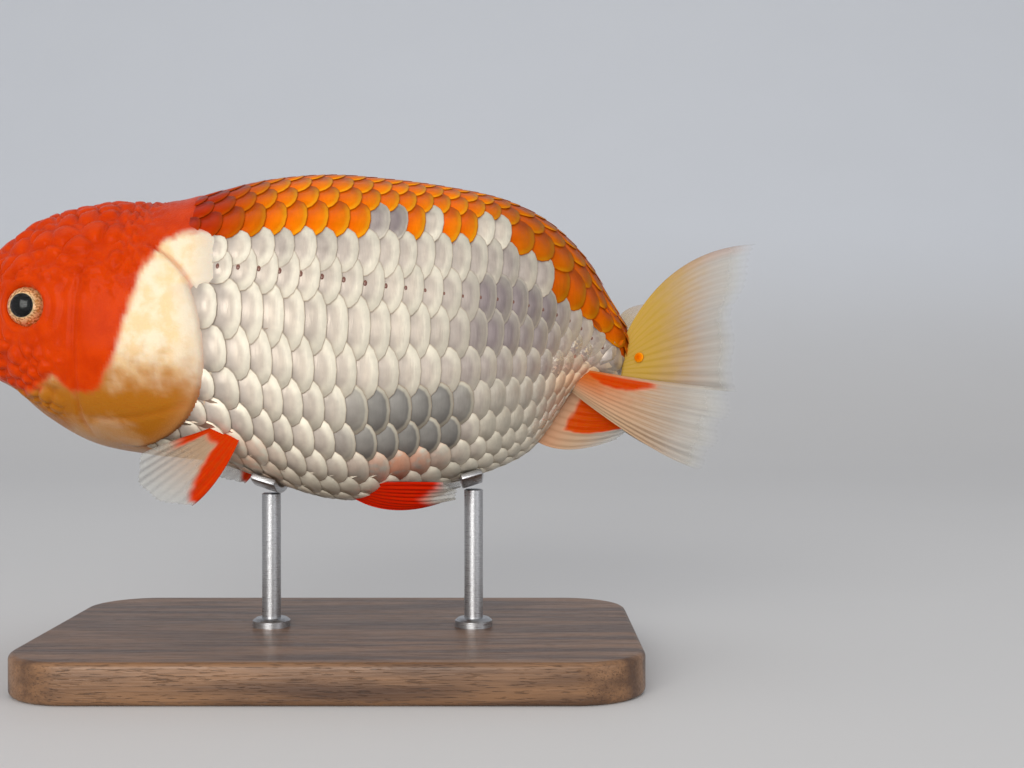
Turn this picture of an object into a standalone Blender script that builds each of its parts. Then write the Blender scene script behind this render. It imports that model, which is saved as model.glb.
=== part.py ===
"""A red and white ranchu goldfish at life size, still, on a plain display stand.

The fish heads toward -X, its left flank is toward -Y and +Z is up. Its own measures are in
millimetres: x back from the snout, y to the right of the middle plane, z up from the lowest
point of the belly. place() turns them into metres in the scene, whose origin is the middle
of the stand's underside.
"""

import math
from typing import Callable, NamedTuple

import bmesh
import bpy
from mathutils import Vector

MM = 0.001

# Driving dimensions, in millimetres.
TOTAL_LENGTH = 139.5  # snout to the tips of the upper tail lobes
BELLY_HEIGHT = 30.0  # lowest point of the belly above the floor
GAP = 0.3  # left between pieces that touch in life
SHARP_EDGE = math.radians(50)

RING_POINTS = 26  # corners of one cross-section of the body
SLICES_PER_STATION = 2  # lofted rings between two stations of the trunk
HEAD_SLICES_PER_STATION = 3

HEAD_END = 7.0  # station where the head gives way to the trunk
SHOULDER_END = 9.0
TRUNK_END = 11.5
FLANK_END = 14.0  # the tail stalk follows

EYE_RADIUS = 3.7
EYE_PLACE = (14.6, 16.4, 34.4)
EYE_SEGMENTS = 16
EYE_RINGS = 10

COVER_THICKNESS = 2.0  # gill cover plate
COVER_LIFT = 0.7  # how far its rear edge stands off the flank
COVER_TOP = math.radians(53)
COVER_FOOT = math.radians(152)
COVER_FRONT = 5.0  # stations of its front edge and of its rear edge at top, bulge and foot
COVER_REAR_TOP = 6.45
COVER_REAR_BULGE = 0.95
COVER_REAR_FOOT = 6.0

WEN_HEIGHT = 0.9  # lumps of the hood over crown and cheeks

BASE_LENGTH = 106.0
BASE_WIDTH = 66.0
BASE_HEIGHT = 7.0
BASE_CORNER = 12.0
BASE_EDGE = 1.0
BASE_MIDDLE_X = 66.0  # under the fish's weight
ROD_RADIUS = 1.7
ROD_SEGMENTS = 20
FRONT_ROD_STATION = 7.95
REAR_ROD_STATION = 11.55
SADDLE_HALF_LENGTH = 0.2  # in stations
SADDLE_REACH = math.radians(24)  # either side of the belly's middle
SADDLE_THICKNESS = 1.2

ORANGE = (0.85, 0.22, 0.02)
WHITE = (0.80, 0.76, 0.68)
CREAM = (0.84, 0.70, 0.46)
PINKISH = (0.80, 0.60, 0.50)
BLACK = (0.01, 0.01, 0.01)
WALNUT = (0.16, 0.075, 0.035)
STEEL = (0.56, 0.56, 0.57)


class Station(NamedTuple):
    """One cross-section: its top and bottom points, half width, level of the widest part
    as a share of the height, and squareness (2 is an ellipse)."""

    top_x: float
    top_z: float
    low_x: float
    low_z: float
    half_width: float
    widest: float
    square: float


STATIONS = (
    Station(0.0, 27.4, 0.0, 27.4, 0.0, 0.50, 2.0),
    Station(0.7, 32.0, 0.9, 23.8, 5.8, 0.48, 2.1),
    Station(2.6, 38.4, 3.9, 22.0, 11.2, 0.47, 2.2),
    Station(7.4, 45.2, 9.2, 19.2, 15.8, 0.46, 2.3),
    Station(14.6, 50.0, 15.2, 14.4, 19.2, 0.46, 2.4),
    Station(24.0, 52.4, 23.0, 10.2, 21.4, 0.46, 2.4),
    Station(33.0, 53.0, 33.0, 8.2, 22.2, 0.46, 2.3),
    Station(43.0, 55.6, 43.5, 6.8, 22.8, 0.46, 2.2),
    Station(53.0, 58.0, 54.0, 3.2, 23.2, 0.46, 2.15),
    Station(64.0, 59.0, 64.0, 0.3, 23.2, 0.46, 2.1),
    Station(75.0, 58.2, 74.0, 0.3, 22.2, 0.46, 2.1),
    Station(86.0, 56.7, 84.0, 2.6, 20.0, 0.47, 2.1),
    Station(96.0, 54.4, 93.0, 5.4, 16.6, 0.48, 2.1),
    Station(104.0, 50.2, 99.5, 8.6, 13.0, 0.49, 2.1),
    Station(110.4, 43.8, 103.4, 13.0, 9.8, 0.50, 2.1),
    Station(114.8, 36.2, 106.0, 17.4, 7.4, 0.50, 2.1),
    Station(118.2, 29.8, 108.4, 20.6, 5.6, 0.50, 2.1),
    Station(116.6, 22.4, 116.6, 22.4, 0.0, 0.50, 2.0),
)
TAIL_END = len(STATIONS) - 1.0


class Ray(NamedTuple):
    """One fin ray as a curve from its root past a bend to its tip."""

    root: tuple[float, float, float]
    bend: tuple[float, float, float]
    tip: tuple[float, float, float]


class Fin(NamedTuple):
    """A fin spread between three rays, with its thickness at root and margin and the
    depth and number of its folds."""

    first: Ray
    middle: Ray
    last: Ray
    root_thickness: float = 1.3
    margin_thickness: float = 0.6
    fold: float = 0.0
    folds: float = 2.0


PECTORAL = Fin(
    Ray((50.9, -16.2, 13.4), (47.5, -19.4, 3.8), (43.4, -23.6, 0.9)),
    Ray((48.9, -16.2, 13.6), (43.3, -20.7, 9.4), (36.6, -25.4, 3.8)),
    Ray((46.9, -15.9, 13.9), (42.2, -20.8, 13.0), (35.6, -26.0, 9.8)),
    fold=0.35,
    folds=1.5,
)
PELVIC = Fin(
    Ray((68.4, -4.2, 1.2), (75.2, -7.0, -3.0), (84.8, -9.6, 0.6)),
    Ray((69.8, -6.6, 2.4), (78.2, -12.0, 0.2), (87.2, -14.4, 2.2)),
    Ray((71.4, -9.2, 3.8), (79.0, -15.6, 4.6), (85.4, -18.4, 4.6)),
    fold=0.25,
)
ANAL = Fin(
    Ray((101.2, -1.7, 10.8), (106.6, -2.4, 7.5), (116.2, -4.2, 11.6)),
    Ray((103.2, -1.9, 15.4), (110.0, -2.8, 12.4), (118.2, -5.0, 14.6)),
    Ray((106.6, -2.0, 20.0), (111.6, -2.6, 18.6), (117.6, -4.4, 18.2)),
    root_thickness=1.2,
    fold=0.2,
)
TAIL_UPPER = Fin(
    Ray((116.4, -1.2, 27.6), (123.2, -3.0, 47.0), (140.7, -9.0, 45.7)),
    Ray((116.8, -1.7, 25.4), (126.4, -6.4, 31.8), (134.8, -14.6, 33.0)),
    Ray((116.8, -2.2, 23.6), (127.0, -8.2, 21.6), (135.6, -16.0, 20.6)),
    root_thickness=1.4,
    fold=0.5,
    folds=2.5,
)
# The far lobe's shoulder is thrown forward and out before it sweeps back.
TAIL_UPPER_FAR = Fin(
    Ray((116.4, 1.2, 27.6), (112.8, 10.0, 38.8), (133.2, 19.0, 35.8)),
    Ray((116.8, 1.7, 25.4), (124.0, 10.0, 30.4), (135.0, 21.0, 29.0)),
    Ray((116.8, 2.2, 23.6), (126.4, 10.4, 22.4), (134.4, 19.6, 21.0)),
    root_thickness=1.4,
    fold=0.5,
    folds=2.5,
)
TAIL_LOWER = Fin(
    Ray((109.0, -4.6, 23.6), (119.0, -9.2, 21.8), (134.6, -17.4, 20.4)),
    Ray((107.4, -4.2, 21.8), (118.4, -13.0, 15.6), (131.2, -22.2, 13.4)),
    Ray((107.0, -3.2, 20.9), (120.8, -13.6, 8.6), (127.8, -25.0, 7.2)),
    root_thickness=1.5,
    fold=0.5,
    folds=3.0,
)
FIN_COLUMNS = 9  # strips across a fin and from its root to its margin
FIN_ROWS = 7
FIN_CORNER = 0.04  # how much its corners draw in


def clear_scene() -> None:
    """Remove every object of the scene."""
    for obj in list(bpy.data.objects):
        bpy.data.objects.remove(obj, do_unlink=True)


def new_collection(name: str, shown: bool) -> bpy.types.Collection:
    """Make a collection in the scene, hidden from renders where it holds cutters."""
    collection = bpy.data.collections.new(name)
    collection.hide_render = not shown
    bpy.context.scene.collection.children.link(collection)
    return collection


def place(x: float, y: float, z: float) -> Vector:
    """The scene's point for a point of the fish's own measures."""
    return Vector(((x - TOTAL_LENGTH / 2) * MM, y * MM, (z + BELLY_HEIGHT) * MM))


def finish(name: str, color: tuple[float, float, float], roughness: float, metallic: float = 0.0):
    """One Principled material."""
    material = bpy.data.materials.new(name)
    material.use_nodes = True
    shader = material.node_tree.nodes["Principled BSDF"]
    shader.inputs["Base Color"].default_value = (*color, 1.0)
    shader.inputs["Roughness"].default_value = roughness
    shader.inputs["Metallic"].default_value = metallic
    material.diffuse_color = (*color, 1.0)
    return material


def add_object(name: str, shape: bmesh.types.BMesh, home, material=None) -> bpy.types.Object:
    """Turn a finished bmesh into an object whose faces point outwards."""
    bmesh.ops.recalc_face_normals(shape, faces=shape.faces)
    if shape.calc_volume(signed=True) < 0:
        bmesh.ops.reverse_faces(shape, faces=shape.faces)
    for face in shape.faces:
        face.smooth = True
    for edge in shape.edges:
        edge.smooth = edge.calc_face_angle(0.0) < SHARP_EDGE
    mesh = bpy.data.meshes.new(name)
    shape.to_mesh(mesh)
    shape.free()
    obj = bpy.data.objects.new(name, mesh)
    home.objects.link(obj)
    if material is not None:
        mesh.materials.append(material)
    return obj


def boolean(target: bpy.types.Object, cutter: bpy.types.Object, operation: str) -> None:
    """Cut, join or intersect one object with another."""
    modifier = target.modifiers.new(f"{operation.lower()} {cutter.name}", "BOOLEAN")
    modifier.operation = operation
    modifier.solver = "EXACT"
    modifier.object = cutter


def smooth_step(value: float, low: float, high: float) -> float:
    """0 below low, 1 above high, and an even slope between."""
    share = min(max((value - low) / (high - low), 0.0), 1.0)
    return share * share * (3 - 2 * share)


def mirrored(station: Station) -> Station:
    """The station as it would go on past a closed end."""
    return station._replace(
        top_x=station.low_x,
        top_z=station.low_z,
        low_x=station.top_x,
        low_z=station.top_z,
        half_width=-station.half_width,
    )


def station_at(s: float) -> Station:
    """The cross-section at any place between the stations, on a smooth curve."""
    row = (mirrored(STATIONS[1]), *STATIONS, mirrored(STATIONS[-2]))
    index = min(int(s), len(STATIONS) - 2)
    f = s - index
    a, b, c, d = row[index : index + 4]
    return Station(
        *(
            0.5 * (2 * q + (r - p) * f + (2 * p - 5 * q + 4 * r - t) * f**2 + (3 * q - p - 3 * r + t) * f**3)
            for p, q, r, t in zip(a, b, c, d)
        )
    )


def signed_power(value: float, power: float) -> float:
    """A power that keeps the sign."""
    return math.copysign(abs(value) ** power, value)


def wen(s: float, angle: float) -> float:
    """Height of the hood's soft lumps, on the crown and on the cheeks."""
    turn = abs((angle + math.pi) % (2 * math.pi) - math.pi)
    crown = smooth_step(s, 1.2, 2.6) * (1 - smooth_step(s, 5.6, 6.7)) * (1 - smooth_step(turn, 0.9, 1.35))
    cheek = smooth_step(s, 2.6, 3.4) * (1 - smooth_step(s, 4.2, 5.0))
    cheek *= smooth_step(turn, 1.6, 1.9) * (1 - smooth_step(turn, 2.3, 2.7))
    lumps = math.sin(4.6 * s + 1.3 * math.sin(3 * turn)) * math.cos(6.0 * turn)
    return WEN_HEIGHT * max(crown, cheek) * (0.4 + 0.6 * lumps)


def body_point(s: float, angle: float) -> Vector:
    """A point of the body in the fish's measures: angle 0 is the back, a quarter turn the
    left flank, a half turn the belly."""
    at = station_at(s)
    lift = signed_power(math.cos(angle), 2 / at.square)
    side = signed_power(math.sin(angle), 2 / at.square)
    share = at.widest + lift * (1 - at.widest if lift > 0 else at.widest)
    low = Vector((at.low_x, 0.0, at.low_z))
    top = Vector((at.top_x, 0.0, at.top_z))
    middle = low.lerp(top, at.widest)
    point = low.lerp(top, share) + Vector((0.0, -at.half_width * side, 0.0))
    outward = point - middle
    if outward.length > 0.01:
        point += outward.normalized() * wen(s, angle)
    return point


def body_normal(s: float, angle: float) -> Vector:
    """The outward direction of the body there."""
    step = 0.02
    along = body_point(min(s + step, TAIL_END), angle) - body_point(max(s - step, 0.0), angle)
    around = body_point(s, angle + step) - body_point(s, angle - step)
    return around.cross(along).normalized()


def body_ring(shape: bmesh.types.BMesh, s: float) -> list:
    """The corners of one cross-section, or its single point at a closed end."""
    if s <= 0.0 or s >= TAIL_END:
        return [shape.verts.new(place(*body_point(s, 0.0)))]
    turns = [2 * math.pi * k / RING_POINTS for k in range(RING_POINTS)]
    return [shape.verts.new(place(*body_point(s, turn))) for turn in turns]


def close_between(shape: bmesh.types.BMesh, ring: list, after: list) -> None:
    """Faces between two neighbouring rings, either of which may be a single point."""
    for k in range(RING_POINTS):
        m = (k + 1) % RING_POINTS
        corners = [ring[k % len(ring)], ring[m % len(ring)], after[m % len(after)], after[k % len(after)]]
        shape.faces.new(list(dict.fromkeys(corners)))


def body_length(name: str, start: float, end: float, slices: int, home, material=None):
    """A closed length of the body between two cross-sections."""
    shape = bmesh.new()
    count = max(2, round((end - start) * slices))
    rings = [body_ring(shape, start + (end - start) * k / count) for k in range(count + 1)]
    for ring, after in zip(rings, rings[1:]):
        close_between(shape, ring, after)
    for ring in (rings[0], rings[-1]):
        if len(ring) > 1:
            shape.faces.new(ring)
    return add_object(name, shape, home, material)


def slab(name: str, columns: int, rows: int, point_at: Callable, home, material=None):
    """A closed sheet: a flat two-sided grid whose points are then moved into shape.

    point_at takes the share across, the share along and the side, 0 or 1."""
    shape = bmesh.new()
    bmesh.ops.create_grid(shape, x_segments=columns, y_segments=rows, size=0.5)
    faces = bmesh.ops.extrude_face_region(shape, geom=shape.faces[:])["geom"]
    for vertex in faces:
        if isinstance(vertex, bmesh.types.BMVert):
            vertex.co.z = 1.0
    for vertex in shape.verts:
        vertex.co = point_at(vertex.co.x + 0.5, vertex.co.y + 0.5, round(vertex.co.z))
    return add_object(name, shape, home, material)


def blend_three(first, middle, last, share: float):
    """The smooth blend through three values at shares 0, a half and 1."""
    a = (1 - share) * (1 - 2 * share)
    b = 4 * share * (1 - share)
    c = share * (2 * share - 1)
    return first * a + middle * b + last * c


def fin_point(fin: Fin, across: float, along: float) -> Vector:
    """A point of the fin's middle sheet."""
    root, bend, tip = (
        blend_three(*(Vector(ray[k]) for ray in (fin.first, fin.middle, fin.last)), across)
        for k in range(3)
    )
    reach = along * (1 - FIN_CORNER * abs(2 * across - 1) ** 6)
    return root * (1 - reach) ** 2 + bend * (2 * reach * (1 - reach)) + tip * reach**2


def fin_normal(fin: Fin, across: float, along: float) -> Vector:
    """The direction square to the fin's middle sheet."""
    step = 0.01
    left, right = max(across - step, 0.0), min(across + step, 1.0)
    inner, outer = max(along - step, 0.0), min(along + step, 1.0)
    over = fin_point(fin, right, along) - fin_point(fin, left, along)
    out = fin_point(fin, across, outer) - fin_point(fin, across, inner)
    return over.cross(out).normalized()


def fin_skin(fin: Fin, across: float, along: float, side: int, mirror: int) -> Vector:
    """A point on either face of the fin, in the scene."""
    half = 0.5 * (fin.root_thickness + (fin.margin_thickness - fin.root_thickness) * along)
    fold = fin.fold * along**2 * math.sin(2 * math.pi * fin.folds * across)
    point = fin_point(fin, across, along)
    point += fin_normal(fin, across, along) * (fold + half * (2 * side - 1))
    return place(point.x, point.y * mirror, point.z)


def add_fin(name: str, fin: Fin, mirror: int, grown_body, home, material):
    """A fin whose root follows the body at a small gap."""
    obj = slab(
        name,
        FIN_COLUMNS,
        FIN_ROWS,
        lambda across, along, side: fin_skin(fin, across, along, side, mirror),
        home,
        material,
    )
    boolean(obj, grown_body, "DIFFERENCE")
    return obj


def prism(name: str, outline: list, near_y: float, far_y: float, home):
    """A cutter: an outline in the fish's middle plane, drawn out sideways."""
    shape = bmesh.new()
    face = shape.faces.new([shape.verts.new(place(x, near_y, z)) for x, z in outline])
    moved = bmesh.ops.extrude_face_region(shape, geom=[face])["geom"]
    corners = [item for item in moved if isinstance(item, bmesh.types.BMVert)]
    bmesh.ops.translate(shape, verts=corners, vec=(0.0, (far_y - near_y) * MM, 0.0))
    return add_cutter(name, shape, home)


def add_cutter(name: str, shape: bmesh.types.BMesh, home) -> bpy.types.Object:
    """A helper shape that is neither rendered nor part of the model."""
    cutter = add_object(name, shape, home)
    cutter.hide_render = True
    cutter.display_type = "WIRE"
    return cutter


def grown(cutter: bpy.types.Object, home) -> bpy.types.Object:
    """A copy of a cutter, larger by the gap on every side."""
    bigger = cutter.copy()
    bigger.data = cutter.data.copy()
    bigger.name = f"{cutter.name}_grown"
    bigger.hide_render = True
    bigger.display_type = "WIRE"
    home.objects.link(bigger)
    modifier = bigger.modifiers.new("gap", "DISPLACE")
    modifier.strength = GAP * MM
    modifier.mid_level = 0.0
    return bigger


def part_off(name: str, head, whole_head, cutter, helpers, home, material) -> bpy.types.Object:
    """Take a piece of the head into a node of its own, with a gap round it."""
    piece = whole_head.copy()
    piece.data = whole_head.data.copy()
    piece.name = name
    piece.hide_render = False
    piece.display_type = "TEXTURED"
    piece.data.name = name
    piece.data.materials.clear()
    piece.data.materials.append(material)
    home.objects.link(piece)
    boolean(piece, cutter, "INTERSECT")
    boolean(head, grown(cutter, helpers), "DIFFERENCE")
    return piece


def cover_point(across: float, along: float, side: int, mirror: int, margin: float = 0.0) -> Vector:
    """A point of a gill cover: across from its top to its foot, along from its front edge to
    its rear one, side 1 outside. A margin makes the larger shape of its recess."""
    bulge = COVER_REAR_BULGE * math.sin(math.pi * across) ** 0.8
    rear = COVER_REAR_TOP + (COVER_REAR_FOOT - COVER_REAR_TOP) * across + bulge
    span = 1 - 0.35 * abs(2 * across - 1) ** 4
    middle = (COVER_FRONT + rear) / 2
    reach = (rear - COVER_FRONT) / 2 * span + margin * 0.1
    s = middle + (2 * along - 1) * reach
    turn = COVER_TOP + (COVER_FOOT - COVER_TOP) * across + margin * 0.045 * (2 * across - 1)
    if side == 1:
        depth = COVER_LIFT * along**1.5 if margin == 0.0 else 3.0
    else:
        depth = -COVER_THICKNESS - margin
    point = body_point(s, turn) + body_normal(s, turn) * depth
    return place(point.x, point.y * mirror, point.z)


def add_gill_cover(name: str, mirror: int, head, shoulder, helpers, home, material):
    """One gill cover, and the recess for it in the head and the shoulder."""
    cover = slab(name, 8, 7, lambda u, v, side: cover_point(u, v, side, mirror), home, material)
    recess = slab(
        f"{name}_recess", 8, 7, lambda u, v, side: cover_point(u, v, side, mirror, GAP), helpers
    )
    recess.hide_render = True
    recess.display_type = "WIRE"
    boolean(head, recess, "DIFFERENCE")
    boolean(shoulder, recess, "DIFFERENCE")
    return cover


def eye_ball(name: str, mirror: int, radius: float, home, material=None) -> bpy.types.Object:
    """An eyeball, set a little way into the head."""
    shape = bmesh.new()
    bmesh.ops.create_uvsphere(shape, u_segments=EYE_SEGMENTS, v_segments=EYE_RINGS, radius=radius * MM)
    x, y, z = EYE_PLACE
    bmesh.ops.translate(shape, verts=shape.verts, vec=place(x, -y * mirror, z))
    return add_object(name, shape, home, material)


def build_head(fish, helpers, finishes) -> tuple[bpy.types.Object, bpy.types.Object]:
    """The head with its jaw, hood, cheeks and eyes, and the shoulder behind it."""
    head_end = HEAD_END - 0.015
    whole = body_length("whole_head", 0.0, head_end, HEAD_SLICES_PER_STATION, helpers)
    whole.hide_render = True
    whole.display_type = "WIRE"
    head = body_length("head", 0.0, head_end, HEAD_SLICES_PER_STATION, fish, finishes["cream"])
    shoulder = body_length(
        "shoulder", HEAD_END + 0.015, SHOULDER_END - 0.015, SLICES_PER_STATION, fish, finishes["white"]
    )
    jaw = prism("jaw_cut", [(-4, 27.0), (5.6, 24.9), (12.0, 17.6), (11.6, 5), (-4, 5)], -30, 30, helpers)
    crown = prism(
        "crown_cut", [(1.6, 39.6), (14, 44.6), (26, 47.4), (36.0, 49.8), (37.0, 66), (0.0, 60)], -30, 30, helpers
    )
    part_off("lower_jaw", head, whole, jaw, helpers, fish, finishes["cream"])
    part_off("hood", head, whole, crown, helpers, fish, finishes["orange"])
    for side, mirror in (("left", 1), ("right", -1)):
        cheek = prism(
            f"cheek_{side}_cut",
            [(8.6, 28.4), (20.4, 28.4), (21.2, 19.0), (17.0, 12.0), (13.6, 18.0)],
            -8.0 * mirror,
            -34.0 * mirror,
            helpers,
        )
        part_off(f"cheek_{side}", head, whole, cheek, helpers, fish, finishes["orange"])
        add_gill_cover(f"gill_cover_{side}", mirror, head, shoulder, helpers, fish, finishes["cream"])
        eye_ball(f"eye_{side}", mirror, EYE_RADIUS, fish, finishes["eye"])
        socket = eye_ball(f"socket_{side}", mirror, EYE_RADIUS + GAP, helpers)
        socket.hide_render = True
        socket.display_type = "WIRE"
        boolean(head, socket, "DIFFERENCE")
    return head, shoulder


def build_trunk(fish, finishes) -> None:
    """The trunk behind the shoulder and the tail stalk."""
    cut = 0.015
    body_length("trunk_front", SHOULDER_END + cut, TRUNK_END - cut, SLICES_PER_STATION, fish, finishes["white"])
    body_length("trunk_rear", TRUNK_END + cut, FLANK_END - cut, SLICES_PER_STATION, fish, finishes["white"])
    body_length("tail_stalk", FLANK_END + cut, TAIL_END, SLICES_PER_STATION, fish, finishes["orange"])


def build_fins(fish, helpers, finishes) -> None:
    """All fins, cut to the body. This breed has no dorsal fin, and its anal and tail fins
    are double."""
    body = body_length("whole_body", 0.0, TAIL_END, SLICES_PER_STATION, helpers)
    near_body = grown(body, helpers)
    body.hide_render = True
    body.display_type = "WIRE"
    for side, mirror in (("left", 1), ("right", -1)):
        add_fin(f"pectoral_fin_{side}", PECTORAL, mirror, near_body, fish, finishes["pinkish"])
        add_fin(f"pelvic_fin_{side}", PELVIC, mirror, near_body, fish, finishes["orange"])
        add_fin(f"anal_fin_{side}", ANAL, mirror, near_body, fish, finishes["orange"])
        add_fin(f"tail_lower_lobe_{side}", TAIL_LOWER, mirror, near_body, fish, finishes["pinkish"])
    add_fin("tail_upper_lobe_left", TAIL_UPPER, 1, near_body, fish, finishes["white"])
    add_fin("tail_upper_lobe_right", TAIL_UPPER_FAR, 1, near_body, fish, finishes["white"])


def stand_base(home, material) -> bpy.types.Object:
    """The flat base: a plate with rounded corners and eased edges."""
    shape = bmesh.new()
    bmesh.ops.create_cube(shape, size=1.0)
    bmesh.ops.scale(shape, verts=shape.verts, vec=Vector((BASE_LENGTH, BASE_WIDTH, BASE_HEIGHT)) * MM)
    uprights = [edge for edge in shape.edges if abs(edge.verts[0].co.z - edge.verts[1].co.z) > MM]
    bmesh.ops.bevel(
        shape,
        geom=uprights,
        offset=BASE_CORNER * MM,
        offset_type="OFFSET",
        segments=7,
        profile=0.5,
        affect="EDGES",
        material=-1,
    )
    rims = [edge for edge in shape.edges if abs(edge.verts[0].co.z - edge.verts[1].co.z) < MM]
    bmesh.ops.bevel(
        shape,
        geom=rims,
        offset=BASE_EDGE * MM,
        offset_type="OFFSET",
        segments=2,
        profile=0.5,
        affect="EDGES",
        material=-1,
    )
    middle = (BASE_MIDDLE_X - TOTAL_LENGTH / 2) * MM
    bmesh.ops.translate(shape, verts=shape.verts, vec=(middle, 0.0, BASE_HEIGHT / 2 * MM))
    return add_object("stand_base", shape, home, material)


def saddle_point(station: float, across: float, along: float, side: int) -> Vector:
    """A point of the strip that cradles the belly at a station."""
    turn = math.pi + SADDLE_REACH * (2 * across - 1)
    s = station + SADDLE_HALF_LENGTH * (2 * along - 1)
    point = body_point(s, turn) + body_normal(s, turn) * (GAP + SADDLE_THICKNESS * side)
    return place(*point)


def stand_support(where: str, station: float, home, material) -> None:
    """A saddle under the belly and the rod that carries it."""
    slab(
        f"stand_saddle_{where}",
        14,
        2,
        lambda across, along, side: saddle_point(station, across, along, side),
        home,
        material,
    )
    belly = body_point(station, math.pi)
    under = place(*(belly + body_normal(station, math.pi) * (2 * GAP + SADDLE_THICKNESS)))
    bottom = (BASE_HEIGHT + GAP) * MM
    slope_room = 0.35 * MM
    height = under.z - slope_room - bottom
    shape = bmesh.new()
    bmesh.ops.create_cone(
        shape,
        cap_ends=True,
        segments=ROD_SEGMENTS,
        radius1=ROD_RADIUS * MM,
        radius2=ROD_RADIUS * MM,
        depth=height,
    )
    bmesh.ops.translate(shape, verts=shape.verts, vec=(under.x, 0.0, bottom + height / 2))
    add_object(f"stand_rod_{where}", shape, home, material)


def main() -> None:
    """Build the whole model."""
    clear_scene()
    fish = new_collection("ranchu_goldfish", shown=True)
    helpers = new_collection("cutters", shown=False)
    finishes = {
        "white": finish("pearl_white_scales", WHITE, 0.3),
        "orange": finish("orange_scales", ORANGE, 0.35),
        "cream": finish("cream_skin", CREAM, 0.4),
        "pinkish": finish("clear_fin", PINKISH, 0.35),
        "eye": finish("eye", BLACK, 0.08),
        "wood": finish("walnut", WALNUT, 0.45),
        "steel": finish("brushed_steel", STEEL, 0.3, metallic=1.0),
    }
    build_head(fish, helpers, finishes)
    build_trunk(fish, finishes)
    build_fins(fish, helpers, finishes)
    stand_base(fish, finishes["wood"])
    stand_support("front", FRONT_ROD_STATION, fish, finishes["steel"])
    stand_support("rear", REAR_ROD_STATION, fish, finishes["steel"])


main()
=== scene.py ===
"""Looks of a red and white ranchu goldfish, still and life-size, on a walnut and steel stand.

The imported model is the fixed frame. One skin replaces the pieces of flesh and lies inside
them by the depth of the scales, which are plates of their own laid over it in rows. Eyes,
fins and the stand are pieces of their own. The fish's own measures are in millimetres: x
back from the snout, y to the right of the middle plane, z up from the lowest point of the
belly. BodyForm.place() puts them into the frame in metres.
"""

import logging
import math
from dataclasses import dataclass
from enum import Enum

import bmesh
import bpy
import numpy as np
from mathutils import Matrix, Vector, noise

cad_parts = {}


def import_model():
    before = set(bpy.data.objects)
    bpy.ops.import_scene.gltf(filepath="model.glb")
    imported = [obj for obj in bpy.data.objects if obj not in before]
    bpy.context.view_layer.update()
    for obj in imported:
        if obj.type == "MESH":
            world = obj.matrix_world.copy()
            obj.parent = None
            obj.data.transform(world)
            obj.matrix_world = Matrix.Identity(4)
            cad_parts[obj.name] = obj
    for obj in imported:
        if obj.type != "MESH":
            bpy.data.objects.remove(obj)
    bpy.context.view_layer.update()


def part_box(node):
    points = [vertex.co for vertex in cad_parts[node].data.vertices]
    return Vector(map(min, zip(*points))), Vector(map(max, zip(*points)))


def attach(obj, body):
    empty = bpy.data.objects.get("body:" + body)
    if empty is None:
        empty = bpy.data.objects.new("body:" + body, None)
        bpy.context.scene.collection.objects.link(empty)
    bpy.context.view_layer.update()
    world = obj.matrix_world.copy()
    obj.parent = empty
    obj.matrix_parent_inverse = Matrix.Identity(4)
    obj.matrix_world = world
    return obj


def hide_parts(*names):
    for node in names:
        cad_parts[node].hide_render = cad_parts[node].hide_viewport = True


MM = 0.001
SEED = 20
BODY = "root"
SCALE_MAP = "OFBake"
WELD = 1e-7  # metres; corners nearer than this are one

Color = tuple[float, float, float]
Point = tuple[float, float, float]
Socket = bpy.types.NodeSocket
Feed = Socket | float | Color

log = logging.getLogger("ranchu")


class Side(Enum):
    """A flank of the fish, with the sign of its turn round the body."""

    LEFT = 1
    RIGHT = -1


class Shader(Enum):
    """Principled sockets that hold one value for a whole finish."""

    SPECULAR = "Specular IOR Level"
    COAT = "Coat Weight"
    COAT_ROUGHNESS = "Coat Roughness"
    SUBSURFACE = "Subsurface Weight"
    SUBSURFACE_SCALE = "Subsurface Scale"
    TRANSMISSION = "Transmission Weight"
    IOR = "IOR"
    METALLIC = "Metallic"
    ROUGHNESS = "Roughness"


def smooth_step(value: np.ndarray, low: float, high: float) -> np.ndarray:
    """Rise smoothly from 0 at low to 1 at high.

    Args:
        value: The numbers to weigh.
        low: Where the rise starts.
        high: Where it ends; it may lie below low for a fall.

    Returns:
        Shares between 0 and 1.
    """
    share = np.clip((value - low) / (high - low), 0.0, 1.0)
    return share * share * (3 - 2 * share)


def bell(value: np.ndarray, middle: float, width: float) -> np.ndarray:
    """A smooth hump of height 1 at the middle."""
    return np.exp(-(((value - middle) / width) ** 2))


# ----------------------------------------------------------------------------- body form


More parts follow.
